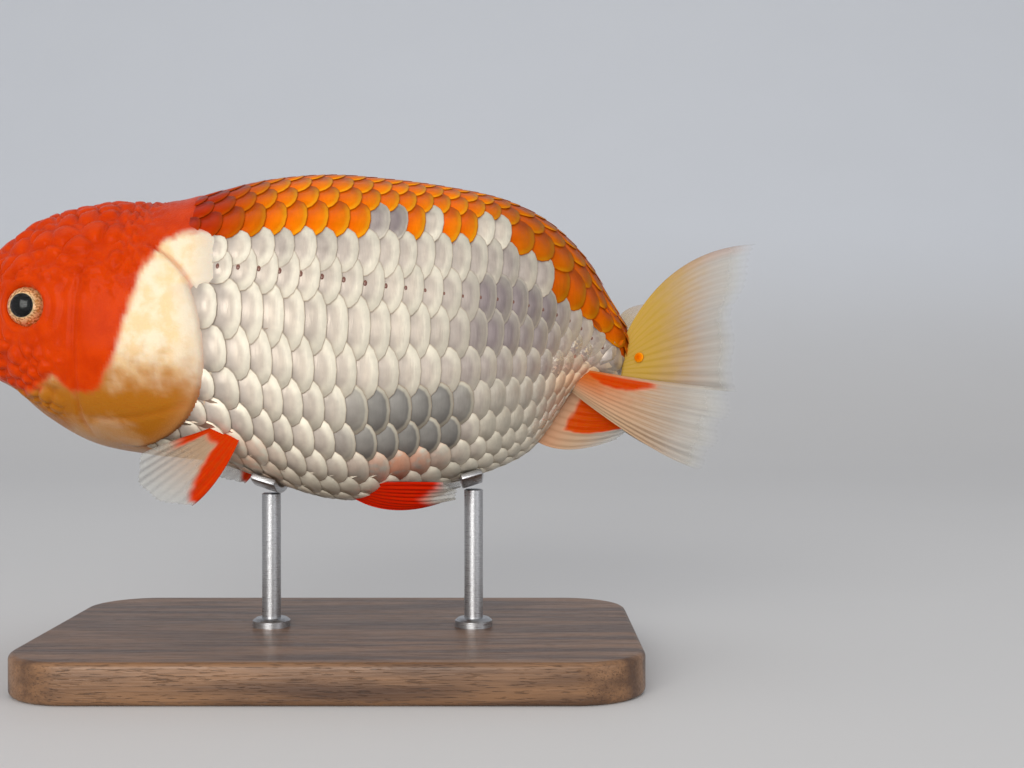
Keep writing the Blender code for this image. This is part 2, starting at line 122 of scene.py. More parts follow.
@dataclass(frozen=True)
class BodyForm:
    """The smooth outer form of the body, as a closed surface over two numbers.

    The first, s, runs along the stations from the snout to the tail's root. The second,
    turn, is the angle round the body: 0 on the back, a quarter turn on the left flank.
    """

    snout_x: float
    belly_z: float

    # top x, top z, low x, low z, half width, level of the widest part, squareness
    STATIONS = np.array(
        [
            (0.0, 27.4, 0.0, 27.4, 0.0, 0.50, 2.0),
            (0.7, 32.0, 0.9, 23.8, 5.8, 0.48, 2.1),
            (2.6, 38.4, 3.9, 22.0, 11.2, 0.47, 2.2),
            (7.4, 45.2, 9.2, 19.2, 15.8, 0.46, 2.3),
            (14.6, 50.0, 15.2, 14.4, 19.2, 0.46, 2.4),
            (24.0, 52.4, 23.0, 10.2, 21.4, 0.46, 2.4),
            (33.0, 53.0, 33.0, 8.2, 22.2, 0.46, 2.3),
            (43.0, 55.6, 43.5, 6.8, 22.8, 0.46, 2.2),
            (53.0, 58.0, 54.0, 3.2, 23.2, 0.46, 2.15),
            (64.0, 59.0, 64.0, 0.3, 23.2, 0.46, 2.1),
            (75.0, 58.2, 74.0, 0.3, 22.2, 0.46, 2.1),
            (86.0, 56.7, 84.0, 2.6, 20.0, 0.47, 2.1),
            (96.0, 54.4, 93.0, 5.4, 16.6, 0.48, 2.1),
            (104.0, 50.2, 99.5, 8.6, 13.0, 0.49, 2.1),
            (110.4, 43.8, 103.4, 13.0, 9.8, 0.50, 2.1),
            (114.8, 36.2, 106.0, 17.4, 7.4, 0.50, 2.1),
            (118.2, 29.8, 108.4, 20.6, 5.6, 0.50, 2.1),
            (116.6, 22.4, 116.6, 22.4, 0.0, 0.50, 2.0),
        ]
    )
    END = 17.0
    STEP = 0.02

    @classmethod
    def from_frame(cls) -> "BodyForm":
        """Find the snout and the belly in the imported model."""
        return cls(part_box("head")[0].x / MM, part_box("trunk_front")[0].z / MM)

    def section(self, s: np.ndarray) -> np.ndarray:
        """Blend the stations.

        Args:
            s: Places along the stations.

        Returns:
            The seven numbers of each cross-section, in the last axis.
        """
        before = self.STATIONS[1][[2, 3, 0, 1, 4, 5, 6]] * [1, 1, 1, 1, -1, 1, 1]
        after = self.STATIONS[-2][[2, 3, 0, 1, 4, 5, 6]] * [1, 1, 1, 1, -1, 1, 1]
        row = np.vstack([before, self.STATIONS, after])
        s = np.clip(np.asarray(s, float), 0.0, self.END)
        index = np.minimum(s.astype(int), len(self.STATIONS) - 2)
        f = (s - index)[..., None]
        a, b, c, d = (row[index + k] for k in range(4))
        square, cube = 2 * a - 5 * b + 4 * c - d, 3 * b - a - 3 * c + d
        return 0.5 * (2 * b + (c - a) * f + square * f**2 + cube * f**3)

    def point(self, s: np.ndarray, turn: np.ndarray) -> np.ndarray:
        """Points of the surface in the fish's measures.

        Args:
            s: Places along the stations.
            turn: Angles round the body.

        Returns:
            One point for each pair, in the last axis.
        """
        top_x, top_z, low_x, low_z, half, widest, square = np.moveaxis(self.section(s), -1, 0)
        cosine, sine = np.cos(turn), np.sin(turn)
        lift = np.sign(cosine) * np.abs(cosine) ** (2 / square)
        side = np.sign(sine) * np.abs(sine) ** (2 / square)
        share = widest + lift * np.where(lift > 0, 1 - widest, widest)
        x = low_x + (top_x - low_x) * share
        z = low_z + (top_z - low_z) * share
        return np.stack(np.broadcast_arrays(x, -half * side, z), axis=-1)

    def along(self, s: np.ndarray, turn: np.ndarray) -> np.ndarray:
        """Millimetres gained for each station, as vectors."""
        s = np.clip(s, self.STEP * 2, self.END - self.STEP * 2)
        return (self.point(s + self.STEP, turn) - self.point(s - self.STEP, turn)) / (2 * self.STEP)

    def around(self, s: np.ndarray, turn: np.ndarray) -> np.ndarray:
        """Millimetres gained for each radian of turn, as vectors."""
        s = np.clip(s, self.STEP * 2, self.END - self.STEP * 2)
        return (self.point(s, turn + self.STEP) - self.point(s, turn - self.STEP)) / (2 * self.STEP)

    def normal(self, s: np.ndarray, turn: np.ndarray) -> np.ndarray:
        """Outward directions of the surface."""
        out = np.cross(self.around(s, turn), self.along(s, turn))
        return out / np.linalg.norm(out, axis=-1, keepdims=True)

    def place(self, points: np.ndarray) -> np.ndarray:
        """The frame's points, in metres, for points in the fish's measures."""
        return (points + [self.snout_x, 0.0, self.belly_z]) * MM

    def measure(self, place: Vector) -> np.ndarray:
        """The fish's measures of one point of the frame."""
        return np.array(place) / MM - [self.snout_x, 0.0, self.belly_z]


@dataclass(frozen=True)
class GillCover:
    """The gill cover's outline on the body form, and the edge where the scales start."""

    top: float = math.radians(53)
    foot: float = math.radians(152)
    front: float = 5.0
    rear_top: float = 6.45
    rear_bulge: float = 0.95
    rear_foot: float = 6.0
    nape_edge: float = 7.3
    nape_notch: float = 0.48
    throat_edge: float = 6.2
    bare_margin: float = 0.06

    def share(self, turn: np.ndarray) -> np.ndarray:
        """0 at the cover's top and 1 at its foot."""
        return (np.abs(turn) - self.top) / (self.foot - self.top)

    def edges(self, turn: np.ndarray) -> tuple[np.ndarray, np.ndarray]:
        """The cover's edges.

        Args:
            turn: Angles round the body.

        Returns:
            Stations of the front and of the rear edge there.
        """
        p = np.clip(self.share(turn), 0.0, 1.0)
        rear = self.rear_top + (self.rear_foot - self.rear_top) * p
        rear = rear + self.rear_bulge * np.sin(np.pi * p) ** 0.8
        half = (rear - self.front) / 2 * (1 - 0.35 * np.abs(2 * p - 1) ** 4)
        middle = (rear + self.front) / 2
        return middle - half, middle + half

    def scale_edge(self, turn: np.ndarray) -> np.ndarray:
        """Where bare skin gives way to scales.

        Args:
            turn: Angles round the body.

        Returns:
            The stations there.
        """
        p = self.share(turn)
        rear = self.edges(turn)[1] + self.bare_margin
        throat = smooth_step(p, 0.94, 1.08)
        edge = rear * (1 - throat) + self.throat_edge * throat
        crown = self.nape_notch * smooth_step(np.abs(turn), 0.95, 0.75)
        return np.maximum(edge, (self.nape_edge - crown) * smooth_step(p, 0.42, 0.18))


# ------------------------------------------------------------------------------ markings


@dataclass(frozen=True)
class Markings:
    """Where the red lies on head, skin and scales. Round the body, v is 0 on the back and 1
    on the belly."""

    raggedness: float = 1.1
    hood_softness: float = 0.8

    # stations along the body, and how far down the flank the red reaches there
    SADDLE_S = (6.0, 9.65, 9.75, 12.1, 12.2, 12.75, 12.95, 15.2, 15.5, 17.0)
    SADDLE_V = (0.285, 0.290, 0.205, 0.205, 0.29, 0.29, 0.37, 0.36, 0.425, 0.435)
    # places along the head in millimetres, and the lowest height of the red hood there
    HOOD_X = (0.0, 4.0, 8.0, 13.0, 17.0, 19.5, 22.0, 25.0, 27.5, 30.0, 32.5, 35.0, 38.5, 46.0)
    HOOD_Z = (22.5, 20.5, 21.5, 20.0, 20.8, 23.0, 20.6, 19.8, 20.4, 24.5, 32.5, 40.0, 46.0, 49.0)

    def saddle(self, s: np.ndarray, v: np.ndarray, softness: float) -> np.ndarray:
        """Share of red over the back.

        Args:
            s: Stations along the body.
            v: Shares of the way from the back to the belly.
            softness: Width of the change, as a share.

        Returns:
            1 in the red saddle and 0 below it.
        """
        limit = np.interp(s, self.SADDLE_S, self.SADDLE_V)
        return smooth_step(v, limit + softness, limit - softness)

    def head(self, x: np.ndarray, v: np.ndarray, z: np.ndarray, ragged: np.ndarray) -> np.ndarray:
        """Share of red on the bare skin of the head.

        Args:
            x: Places along the body in millimetres.
            v: Shares of the way from the back to the belly.
            z: Heights in millimetres.
            ragged: Noise between -1 and 1 that breaks up the edge.

        Returns:
            1 in the red cap, round the eye and on the cheek's patch, 0 elsewhere.
        """
        lowest = np.interp(x, self.HOOD_X, self.HOOD_Z)
        ahead, behind = (np.interp(x + step, self.HOOD_X, self.HOOD_Z) for step in (-0.5, 0.5))
        above = (z + self.raggedness * ragged - lowest) / np.hypot(1.0, behind - ahead)
        hood = smooth_step(above, -self.hood_softness, self.hood_softness)
        nape = smooth_step(v + 0.02 * ragged, 0.29, 0.25) * smooth_step(x, 24.0, 28.0)
        return np.clip(np.maximum(hood, nape), 0.0, 1.0)


# ------------------------------------------------------------------------- mesh helpers


def grid_mesh(columns: int, rows: int, walls: bool) -> bmesh.types.BMesh:
    """A flat grid over the unit square with a UV map, in one layer or as a closed slab.

    Args:
        columns: Faces along x.
        rows: Faces along y.
        walls: Whether to draw it out to a second layer at z 1.

    Returns:
        The grid, still flat.
    """
    shape = bmesh.new()
    shape.loops.layers.uv.new(SCALE_MAP)
    bmesh.ops.create_grid(shape, x_segments=columns, y_segments=rows, size=0.5, calc_uvs=True)
    bmesh.ops.translate(shape, verts=shape.verts, vec=(0.5, 0.5, 0.0))
    if walls:
        draw_out(shape, bmesh.ops.extrude_face_region(shape, geom=shape.faces[:])["geom"], (0, 0, 1))
    return shape


def draw_out(shape: bmesh.types.BMesh, made: list, way: Point) -> None:
    """Move the corners that an extrusion has just made."""
    corners = [item for item in made if isinstance(item, bmesh.types.BMVert)]
    bmesh.ops.translate(shape, verts=corners, vec=way)


def drop(edge: bmesh.types.BMEdge) -> float:
    """How much higher one end of an edge lies than the other."""
    return abs(edge.verts[0].co.z - edge.verts[1].co.z)


def round_off(shape: bmesh.types.BMesh, edges: list, offset: float, segments: int) -> None:
    """Round edges off.

    Args:
        shape: What they belong to.
        edges: The edges.
        offset: Width of the rounding in millimetres.
        segments: Faces across it.
    """
    bmesh.ops.bevel(
        shape,
        geom=edges,
        offset=offset * MM,
        offset_type="OFFSET",
        segments=segments,
        profile=0.5,
        affect="EDGES",
        material=-1,
    )


def shade_smooth(shape: bmesh.types.BMesh) -> None:
    """Let the light run evenly over every face."""
    for face in shape.faces:
        face.smooth = True


def corners_of(mesh: bpy.types.Mesh) -> np.ndarray:
    """All vertex places of a mesh.

    Args:
        mesh: The mesh.

    Returns:
        One row for each vertex.
    """
    flat = np.empty(len(mesh.vertices) * 3, np.float32)
    mesh.vertices.foreach_get("co", flat)
    return flat.reshape(-1, 3).astype(float)


def move_corners(mesh: bpy.types.Mesh, places: np.ndarray) -> None:
    """Set all vertex places of a mesh."""
    mesh.vertices.foreach_set("co", np.ascontiguousarray(places, np.float32).ravel())
    mesh.update()


def store(mesh: bpy.types.Mesh, name: str, values: np.ndarray) -> None:
    """Keep one number for each vertex under a name that a finish can read."""
    attribute = mesh.attributes.new(name, "FLOAT", "POINT")
    attribute.data.foreach_set("value", np.ascontiguousarray(values, np.float32).ravel())


def seal(mesh: bpy.types.Mesh, distance: float) -> None:
    """Join doubled corners, turn the faces outwards and shade them smooth.

    Args:
        mesh: A closed shape once its doubles are joined.
        distance: Corners nearer than this many metres are one.
    """
    shape = bmesh.new()
    shape.from_mesh(mesh)
    bmesh.ops.remove_doubles(shape, verts=shape.verts, dist=distance)
    bmesh.ops.recalc_face_normals(shape, faces=shape.faces)
    if shape.calc_volume(signed=True) < 0:
        bmesh.ops.reverse_faces(shape, faces=shape.faces)
    shade_smooth(shape)
    shape.to_mesh(mesh)
    shape.free()


def to_mesh(shape: bmesh.types.BMesh, name: str) -> bpy.types.Mesh:
    """Turn a finished bmesh into a mesh.

    Args:
        shape: The bmesh, which is freed.
        name: The mesh's name, which its piece takes over.

    Returns:
        The mesh.
    """
    mesh = bpy.data.meshes.new(name)
    shape.to_mesh(mesh)
    shape.free()
    return mesh


def ball(name: str, segments: int, rings: int) -> bpy.types.Mesh:
    """A ball of radius 1.

    Args:
        name: The mesh's name.
        segments: Faces round it.
        rings: Faces from pole to pole.

    Returns:
        Its mesh.
    """
    shape = bmesh.new()
    bmesh.ops.create_uvsphere(shape, u_segments=segments, v_segments=rings, radius=1.0)
    return to_mesh(shape, name)


def facing(place: Vector, way: Vector, up: str) -> Matrix:
    """The turn and move that set a flat piece down.

    Args:
        place: Where its middle goes.
        way: Where its z axis points.
        up: Its axis that stays as upright as it can.

    Returns:
        The transform.
    """
    return Matrix.Translation(place) @ way.to_track_quat("Z", up).to_matrix().to_4x4()


def add_piece(
    mesh: bpy.types.Mesh, finish: "Finish", replaced: tuple[str, ...] = ()
) -> bpy.types.Object:
    """Put a piece into the scene, on the frame's body.

    Args:
        mesh: The finished mesh, in the frame's metres.
        finish: What it is dressed in.
        replaced: CAD nodes that it stands for.

    Returns:
        The new object.
    """
    piece = bpy.data.objects.new(mesh.name, mesh)
    bpy.context.scene.collection.objects.link(piece)
    mesh.materials.clear()
    mesh.materials.append(finish.material())
    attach(piece, BODY)
    if replaced:
        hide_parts(*replaced)
    log.info("%s: %d faces", piece.name, len(mesh.polygons))
    return piece


# ------------------------------------------------------------------------------ finishes


class NodeBench:
    """A new material's node tree, with short ways to add nodes to it."""

    def __init__(self, name: str, settings: dict[Shader, float]) -> None:
        """Start a material.

        Args:
            name: Its name.
            settings: Values for the shader's own sockets.
        """
        self.material = bpy.data.materials.new(name)
        self.material.use_nodes = True
        self.tree = self.material.node_tree
        self.shader = self.tree.nodes["Principled BSDF"]
        for socket, value in settings.items():
            self.shader.inputs[socket.value].default_value = value

    def feed(self, socket: Socket, value: Feed) -> None:
        """Link or set an input.

        Args:
            socket: The input.
            value: What it is fed.
        """
        if isinstance(value, Socket):
            self.tree.links.new(value, socket)
        elif isinstance(value, tuple) and socket.type == "RGBA":
            socket.default_value = (*value, 1.0)
        else:
            socket.default_value = value

    def add(
        self, kind: str, output: str | int, inputs: dict[str | int, Feed], **settings: str | bool
    ) -> Socket:
        """Add one node.

        Args:
            kind: Its type.
            output: Name or place of the output that is wanted.
            inputs: What its inputs are fed, by name or place.
            settings: Its own settings.

        Returns:
            The output's socket.
        """
        node = self.tree.nodes.new(f"ShaderNode{kind}")
        for name, value in settings.items():
            setattr(node, name, value)
        for key, value in inputs.items():
            self.feed(node.inputs[key], value)
        return node.outputs[output]

    def shade(self, socket: str, value: Feed) -> None:
        """Feed one of the shader's inputs."""
        self.feed(self.shader.inputs[socket], value)

    def attribute(self, name: str) -> Socket:
        """A number kept on the mesh."""
        return self.add("Attribute", "Fac", {}, attribute_name=name)

    def place(self, stretch: Point = (1.0, 1.0, 1.0)) -> Socket:
        """Object coordinates in millimetres, stretched."""
        scale = tuple(k / MM for k in stretch)
        return self.add("Mapping", "Vector", {"Vector": self.add("TexCoord", "Object", {}), "Scale": scale})

    def noise(self, scale: float, detail: float = 2.0, stretch: Point = (1.0, 1.0, 1.0)) -> Socket:
        """Cloudy noise with features of about 1/scale millimetres."""
        return self.add("TexNoise", "Fac", {"Vector": self.place(stretch), "Scale": scale, "Detail": detail})

    def math(self, operation: str, *values: Feed, clamp: bool = False) -> Socket:
        """One sum."""
        return self.add("Math", 0, dict(enumerate(values)), operation=operation, use_clamp=clamp)

    def between(
        self, value: Feed, low: float, high: float, floor: float = 0.0, ceiling: float = 1.0
    ) -> Socket:
        """Rise smoothly from floor to ceiling while value goes from low to high."""
        numbers = dict(enumerate((value, low, high, floor, ceiling)))
        return self.add("MapRange", "Result", numbers, interpolation_type="SMOOTHSTEP")

    def mix(self, share: Feed, first: Feed, second: Feed) -> Socket:
        """Mix two colours."""
        return self.add("Mix", 2, {0: share, 6: first, 7: second}, data_type="RGBA")

    def dim(self, color: Feed, light: Feed) -> Socket:
        """Multiply a colour by one number."""
        return self.add("VectorMath", "Vector", {0: color, "Scale": light}, operation="SCALE")

    def bump(self, height: Feed, distance: float) -> None:
        """Give the shader a bump of a height in millimetres."""
        self.shade("Normal", self.add("Bump", "Normal", {"Height": height, "Distance": distance * MM}))


class Finish:
    """What a piece is dressed in. Each kind makes its material once."""

    NAME = "plain"
    SETTINGS: dict[Shader, float] = {}

    def dress(self, bench: NodeBench) -> None:
        """Lay the finish's own nodes on a new bench."""
        raise NotImplementedError

    def material(self) -> bpy.types.Material:
        """Make the material on first use.

        Returns:
            The same material each time.
        """
        if "_made" not in self.__dict__:
            bench = NodeBench(self.NAME, self.SETTINGS)
            self.dress(bench)
            object.__setattr__(self, "_made", bench.material)
        return self.__dict__["_made"]


@dataclass(frozen=True)
class ScaleFinish(Finish):
    """Wet scales: pearly where white, with a bright band inside a fine warm rim, and amber
    towards the lower rear edge where red."""

    NAME = "scales"
    SETTINGS = {Shader.COAT: 0.02, Shader.COAT_ROUGHNESS: 0.2, Shader.SPECULAR: 0.2}

    pearl: Color = (0.71, 0.615, 0.50)
    band: Color = (0.92, 0.84, 0.68)
    # lavender, which behind is a painted dark reflection in the silvery scales
    lavender: Color = (0.25, 0.205, 0.205)
    shadow: Color = (0.38, 0.33, 0.30)
    slate: Color = (0.25, 0.235, 0.215)
    cream: Color = (0.56, 0.51, 0.41)
    tan: Color = (0.42, 0.28, 0.17)
    flesh: Color = (0.78, 0.56, 0.37)
    coral: Color = (0.66, 0.20, 0.07)
    glint: Color = (0.95, 0.88, 0.74)
    # deeper red of the scales at the nape, darkened in part as painted shade
    nape: Color = (0.34, 0.012, 0.001)
    red: Color = (0.67, 0.108, 0.001)
    bright: Color = (0.81, 0.20, 0.001)
    amber: Color = (0.86, 0.35, 0.008)
    outline: Color = (0.42, 0.06, 0.001)

    def dress(self, bench: NodeBench) -> None:
        """Lay the nodes: white and red scales, stains, silver specks and a fine grain.

        Args:
            bench: The node tree.
        """
        rim, lie, rise = (bench.attribute(name) for name in ("rim", "lie", "rise"))
        grey, tone, red = (bench.attribute(name) for name in ("grey", "tone", "red"))
        streaks = bench.noise(1.5, 2.0, (1.7, 0.6, 0.3))
        clouds = bench.noise(0.45, 3.0)
        white = self.white(bench, rim, lie, grey, streaks)
        color = bench.mix(red, white, self.warm(bench, rim, lie, rise))
        stain = bench.math("MULTIPLY", bench.attribute("stain"), bench.between(clouds, 0.3, 0.55))
        color = bench.mix(stain, color, self.coral)
        light = bench.math("MULTIPLY_ADD", tone, 0.10, bench.between(clouds, 0.3, 0.7, 0.84, 0.98))
        specks = bench.between(bench.noise(1.9, 2.0), 0.50, 0.60)
        glint = bench.math("MULTIPLY", bench.attribute("glint"), specks)
        bench.shade("Base Color", bench.mix(glint, bench.dim(color, light), self.glint))
        bench.shade("Specular Tint", bench.mix(red, self.band, self.red))
        dull = bench.between(clouds, 0.3, 0.7, 0.32, 0.46)
        bench.shade("Roughness", bench.math("MULTIPLY_ADD", glint, -0.2, dull))
        shine = bench.between(red, 0.0, 1.0, 0.18, 0.0)
        bench.shade("Metallic", bench.math("MULTIPLY_ADD", glint, 0.5, shine, clamp=True))
        grain = bench.math("MULTIPLY", streaks, bench.between(rim, 0.95, 0.7))
        bench.bump(bench.math("MULTIPLY_ADD", glint, 0.4, grain), 0.05)

    def white(self, bench: NodeBench, rim: Socket, lie: Socket, grey: Socket, streaks: Socket) -> Socket:
        """Colour of a white scale.

        Args:
            bench: The node tree.
            rim: 0 at the scale's heart and 1 on its rim.
            lie: -1 at its front and 1 at its rear edge.
            grey: How lavender it is.
            streaks: Fine upright streaks.

        Returns:
            The colour's socket.
        """
        creamy = bench.attribute("creamy")
        streaked = bench.math("MULTIPLY_ADD", streaks, 0.2, grey, clamp=True)
        heart = bench.mix(streaked, self.pearl, self.lavender)
        front = bench.between(lie, 0.45, -0.1, 0.0, 0.6)
        front = bench.math("MULTIPLY", front, bench.between(grey, 0.2, 0.9, 1.0, 0.25))
        heart = bench.mix(front, heart, self.shadow)
        band = bench.math("MULTIPLY", bench.between(rim, 0.45, 0.84), bench.between(lie, -0.2, 0.35))
        band = bench.math("MULTIPLY", band, bench.between(grey, 0.1, 0.9, 1.0, 0.3))
        white = bench.mix(band, heart, self.band)
        edged = bench.mix(bench.between(rim, 0.80, 0.90), self.slate, self.cream)
        white = bench.mix(bench.attribute("slate"), white, edged)
        white = bench.mix(creamy, white, self.cream)
        white = bench.mix(bench.attribute("flesh"), white, self.flesh)
        pale = bench.between(rim, 0.86, 0.96, 0.0, 0.35)
        pale = bench.math("MULTIPLY", pale, bench.between(grey, 0.3, 0.8))
        white = bench.mix(pale, white, self.band)
        line = bench.between(rim, 0.95, 0.99, 0.0, 0.5)
        line = bench.math("MULTIPLY", line, bench.between(grey, 0.2, 0.8, 1.0, 0.3))
        line = bench.math("MULTIPLY", line, bench.between(creamy, 0.0, 0.8, 1.0, 0.2))
        return bench.mix(line, white, self.tan)

    def warm(self, bench: NodeBench, rim: Socket, lie: Socket, rise: Socket) -> Socket:
        """Colour of a red scale.

        Args:
            bench: The node tree.
            rim: 0 at the scale's heart and 1 on its rim.
            lie: -1 at its front and 1 at its rear edge.
            rise: -1 at its top and 1 at its foot.

        Returns:
            The colour's socket.
        """
        lit = bench.math("MULTIPLY_ADD", rise, 0.35, lie)
        warm = bench.mix(bench.between(lit, 0.05, 0.85), self.red, self.bright)
        edge = bench.math("MULTIPLY", bench.between(rim, 0.70, 0.92, 0.0, 0.8), bench.between(lit, 0.2, 0.8))
        warm = bench.mix(edge, warm, self.amber)
        glow = bench.attribute("glow")
        warm = bench.mix(bench.between(glow, 1.0, 0.0, 0.0, 0.2), warm, self.red)
        warm = bench.dim(warm, bench.between(glow, 0.0, 1.0, 0.72, 1.0))
        # red scales turn deeper towards the nape, in part painted shade
        warm = bench.mix(bench.math("MULTIPLY", bench.attribute("nape"), 0.9), warm, self.nape)
        return bench.mix(bench.between(rim, 0.95, 0.99, 0.0, 0.75), warm, self.outline)


@dataclass(frozen=True)
class SkinFinish(Finish):
    """Moist bare skin of head and fin roots: cream with a red hood."""

    NAME = "head_skin"
    SETTINGS = {
        Shader.COAT: 0.05,
        Shader.COAT_ROUGHNESS: 0.18,
        Shader.SPECULAR: 0.16,
        Shader.SUBSURFACE: 0.12,
        Shader.SUBSURFACE_SCALE: 1.2 * MM,
    }

    cream: Color = (0.74, 0.54, 0.30)
    # gold of the lower head, darkened in part as painted shade
    chin: Color = (0.37, 0.125, 0.007)
    pale: Color = (0.76, 0.64, 0.46)
    pearl: Color = (0.60, 0.52, 0.42)
    red: Color = (0.55, 0.042, 0.001)
    deep: Color = (0.37, 0.018, 0.001)

    def dress(self, bench: NodeBench) -> None:
        """Lay the nodes: clouded cream, gold and pearl under clouded red, with painted shade in the creases.

        Args:
            bench: The node tree.
        """
        red = bench.attribute("red")
        clouds = bench.noise(0.35, 4.0)
        specks = bench.noise(3.0, 3.0)
        white = bench.mix(bench.between(clouds, 0.35, 0.65), self.cream, self.pale)
        white = bench.mix(bench.attribute("gold"), white, self.chin)
        white = bench.mix(bench.attribute("pearly"), white, self.pearl)
        warm = bench.mix(bench.between(clouds, 0.3, 0.7, 0.0, 0.45), self.red, self.deep)
        color = bench.mix(red, white, warm)
        # painted shade in the creases of the gill cover, mouth and nostrils and between the hood's lumps
        crease = bench.math("MULTIPLY", bench.attribute("crease"), 0.55)
        bench.shade("Base Color", bench.mix(crease, color, self.deep))
        bench.shade("Specular Tint", bench.mix(red, self.pale, self.red))
        bench.shade("Roughness", bench.between(specks, 0.3, 0.7, 0.30, 0.46))
        bench.bump(bench.math("ADD", specks, clouds), 0.08)


@dataclass(frozen=True)
class FinFinish(Finish):
    """Thin fin membrane between pale rays, stained red or ochre in places."""

    NAME = "fin_membrane"
    SETTINGS = {
        Shader.COAT: 0.03,
        Shader.COAT_ROUGHNESS: 0.15,
        Shader.ROUGHNESS: 0.38,
        Shader.SPECULAR: 0.15,
    }

    clear: Color = (0.46, 0.45, 0.41)
    pink: Color = (0.48, 0.32, 0.20)
    root: Color = (0.44, 0.10, 0.015)
    ochre: Color = (0.50, 0.31, 0.035)
    red: Color = (0.43, 0.052, 0.001)
    scarlet: Color = (0.51, 0.012, 0.001)

    def dress(self, bench: NodeBench) -> None:
        """Lay the nodes: clear web with a fleshy root, then ochre, then red.

        Args:
            bench: The node tree.
        """
        ray, stain = bench.attribute("ray"), bench.attribute("stain")
        grain = bench.noise(1.2, 3.0)
        color = bench.mix(bench.attribute("flesh"), self.clear, self.pink)
        color = bench.mix(bench.attribute("base"), color, self.root)
        color = bench.mix(bench.attribute("ochre"), color, self.ochre)
        deeper = bench.math("MULTIPLY_ADD", ray, 0.2, bench.between(grain, 0.35, 0.65, 0.0, 0.2))
        deeper = bench.math("ADD", deeper, bench.attribute("deep"), clamp=True)
        color = bench.mix(stain, color, bench.mix(deeper, self.red, self.scarlet))
        bench.shade("Base Color", bench.dim(color, bench.between(ray, 0.0, 1.0, 1.02, 0.94)))
        bench.shade("Specular Tint", bench.mix(stain, self.clear, self.red))
        bench.shade("Alpha", bench.math("MULTIPLY_ADD", stain, 0.8, bench.attribute("veil"), clamp=True))
        bench.bump(grain, 0.03)


@dataclass(frozen=True)
class EyeFinish(Finish):
    """Black pupil in a golden iris with dark outlines."""

    NAME = "eye"
    SETTINGS = {Shader.SPECULAR: 0.1}

    pupil: Color = (0.004, 0.004, 0.005)
    gold: Color = (0.72, 0.36, 0.08)
    bright: Color = (0.90, 0.70, 0.38)
    brown: Color = (0.10, 0.03, 0.012)

    def dress(self, bench: NodeBench) -> None:
        """Lay the nodes: rings from the pupil out, by the angle from the eye's axis.

        Args:
            bench: The node tree.
        """
        ring = bench.attribute("ring")
        flecks = bench.noise(2.4, 3.0)
        iris = bench.mix(bench.between(flecks, 0.35, 0.65), self.gold, self.bright)
        iris = bench.mix(bench.between(ring, 0.74, 0.86), iris, self.brown)
        iris = bench.mix(bench.between(ring, 0.47, 0.43), iris, self.bright)
        bench.shade("Base Color", bench.mix(bench.between(ring, 0.41, 0.385), iris, self.pupil))
        bench.shade("Metallic", bench.between(ring, 0.38, 0.42, 0.0, 0.45))
        bench.shade("Roughness", bench.between(flecks, 0.3, 0.7, 0.22, 0.34))
        bench.bump(flecks, 0.05)


@dataclass(frozen=True)
class CorneaFinish(Finish):
    """Clear cornea over the eye."""

    NAME = "cornea"
    SETTINGS = {Shader.TRANSMISSION: 1.0, Shader.IOR: 1.2, Shader.SPECULAR: 0.5}

    hazy: Color = (0.98, 0.98, 0.97)
    clear: Color = (1.0, 1.0, 1.0)

    def dress(self, bench: NodeBench) -> None:
        """Lay the nodes: a trace of haze.

        Args:
            bench: The node tree.
        """
        haze = bench.noise(0.6, 1.0)
        bench.shade("Base Color", bench.mix(haze, self.hazy, self.clear))
        bench.shade("Roughness", bench.between(haze, 0.0, 1.0, 0.02, 0.05))


@dataclass(frozen=True)
class PoreFinish(Finish):
    """Dark red-brown pores of the lateral line."""

    NAME = "lateral_line_pores"
    SETTINGS = {Shader.COAT: 0.4, Shader.ROUGHNESS: 0.4}

    dark: Color = (0.085, 0.022, 0.012)
    light: Color = (0.20, 0.07, 0.04)

    def dress(self, bench: NodeBench) -> None:
        """Lay the nodes: two browns in a fine grain.

        Args:
            bench: The node tree.
        """
        grain = bench.noise(2.0, 2.0)
        bench.shade("Base Color", bench.mix(grain, self.dark, self.light))
        bench.bump(grain, 0.03)


@dataclass(frozen=True)
class WalnutFinish(Finish):
    """Satin walnut with straight grain along the base."""

    NAME = "walnut"
    SETTINGS = {Shader.COAT: 0.15, Shader.COAT_ROUGHNESS: 0.3, Shader.SPECULAR: 0.4}

    light: Color = (0.23, 0.115, 0.052)
    dark: Color = (0.075, 0.034, 0.016)
    pore: Color = (0.03, 0.014, 0.008)

    def dress(self, bench: NodeBench) -> None:
        """Lay the nodes: broad figure, fine lines and open pores, all along the base.

        Args:
            bench: The node tree.
        """
        figure = bench.noise(0.5, 4.0, (0.05, 0.6, 0.5))
        lines = bench.noise(1.6, 3.0, (0.06, 1.8, 1.6))
        pores = bench.noise(3.0, 1.0, (0.12, 2.4, 2.4))
        color = bench.mix(bench.between(figure, 0.32, 0.68), self.dark, self.light)
        color = bench.mix(bench.between(lines, 0.45, 0.75, 0.0, 0.55), color, self.dark)
        bench.shade("Base Color", bench.mix(bench.between(pores, 0.62, 0.72, 0.0, 0.6), color, self.pore))
        bench.shade("Roughness", bench.between(lines, 0.3, 0.7, 0.36, 0.52))
        bench.bump(bench.math("SUBTRACT", lines, bench.between(pores, 0.6, 0.72)), 0.06)


@dataclass(frozen=True)
class SteelFinish(Finish):
    """Steel brushed round the rods."""

    NAME = "brushed_steel"
    SETTINGS = {Shader.METALLIC: 1.0}

    color: Color = (0.52, 0.52, 0.53)
    shadow: Color = (0.36, 0.36, 0.37)

    def dress(self, bench: NodeBench) -> None:
        """Lay the nodes: fine level scratches.

        Args:
            bench: The node tree.
        """
        brush = bench.noise(2.0, 3.0, (0.3, 0.3, 8.0))
        bench.shade("Base Color", bench.mix(brush, self.shadow, self.color))
        bench.shade("Roughness", bench.between(brush, 0.3, 0.7, 0.24, 0.40))
        bench.bump(brush, 0.02)


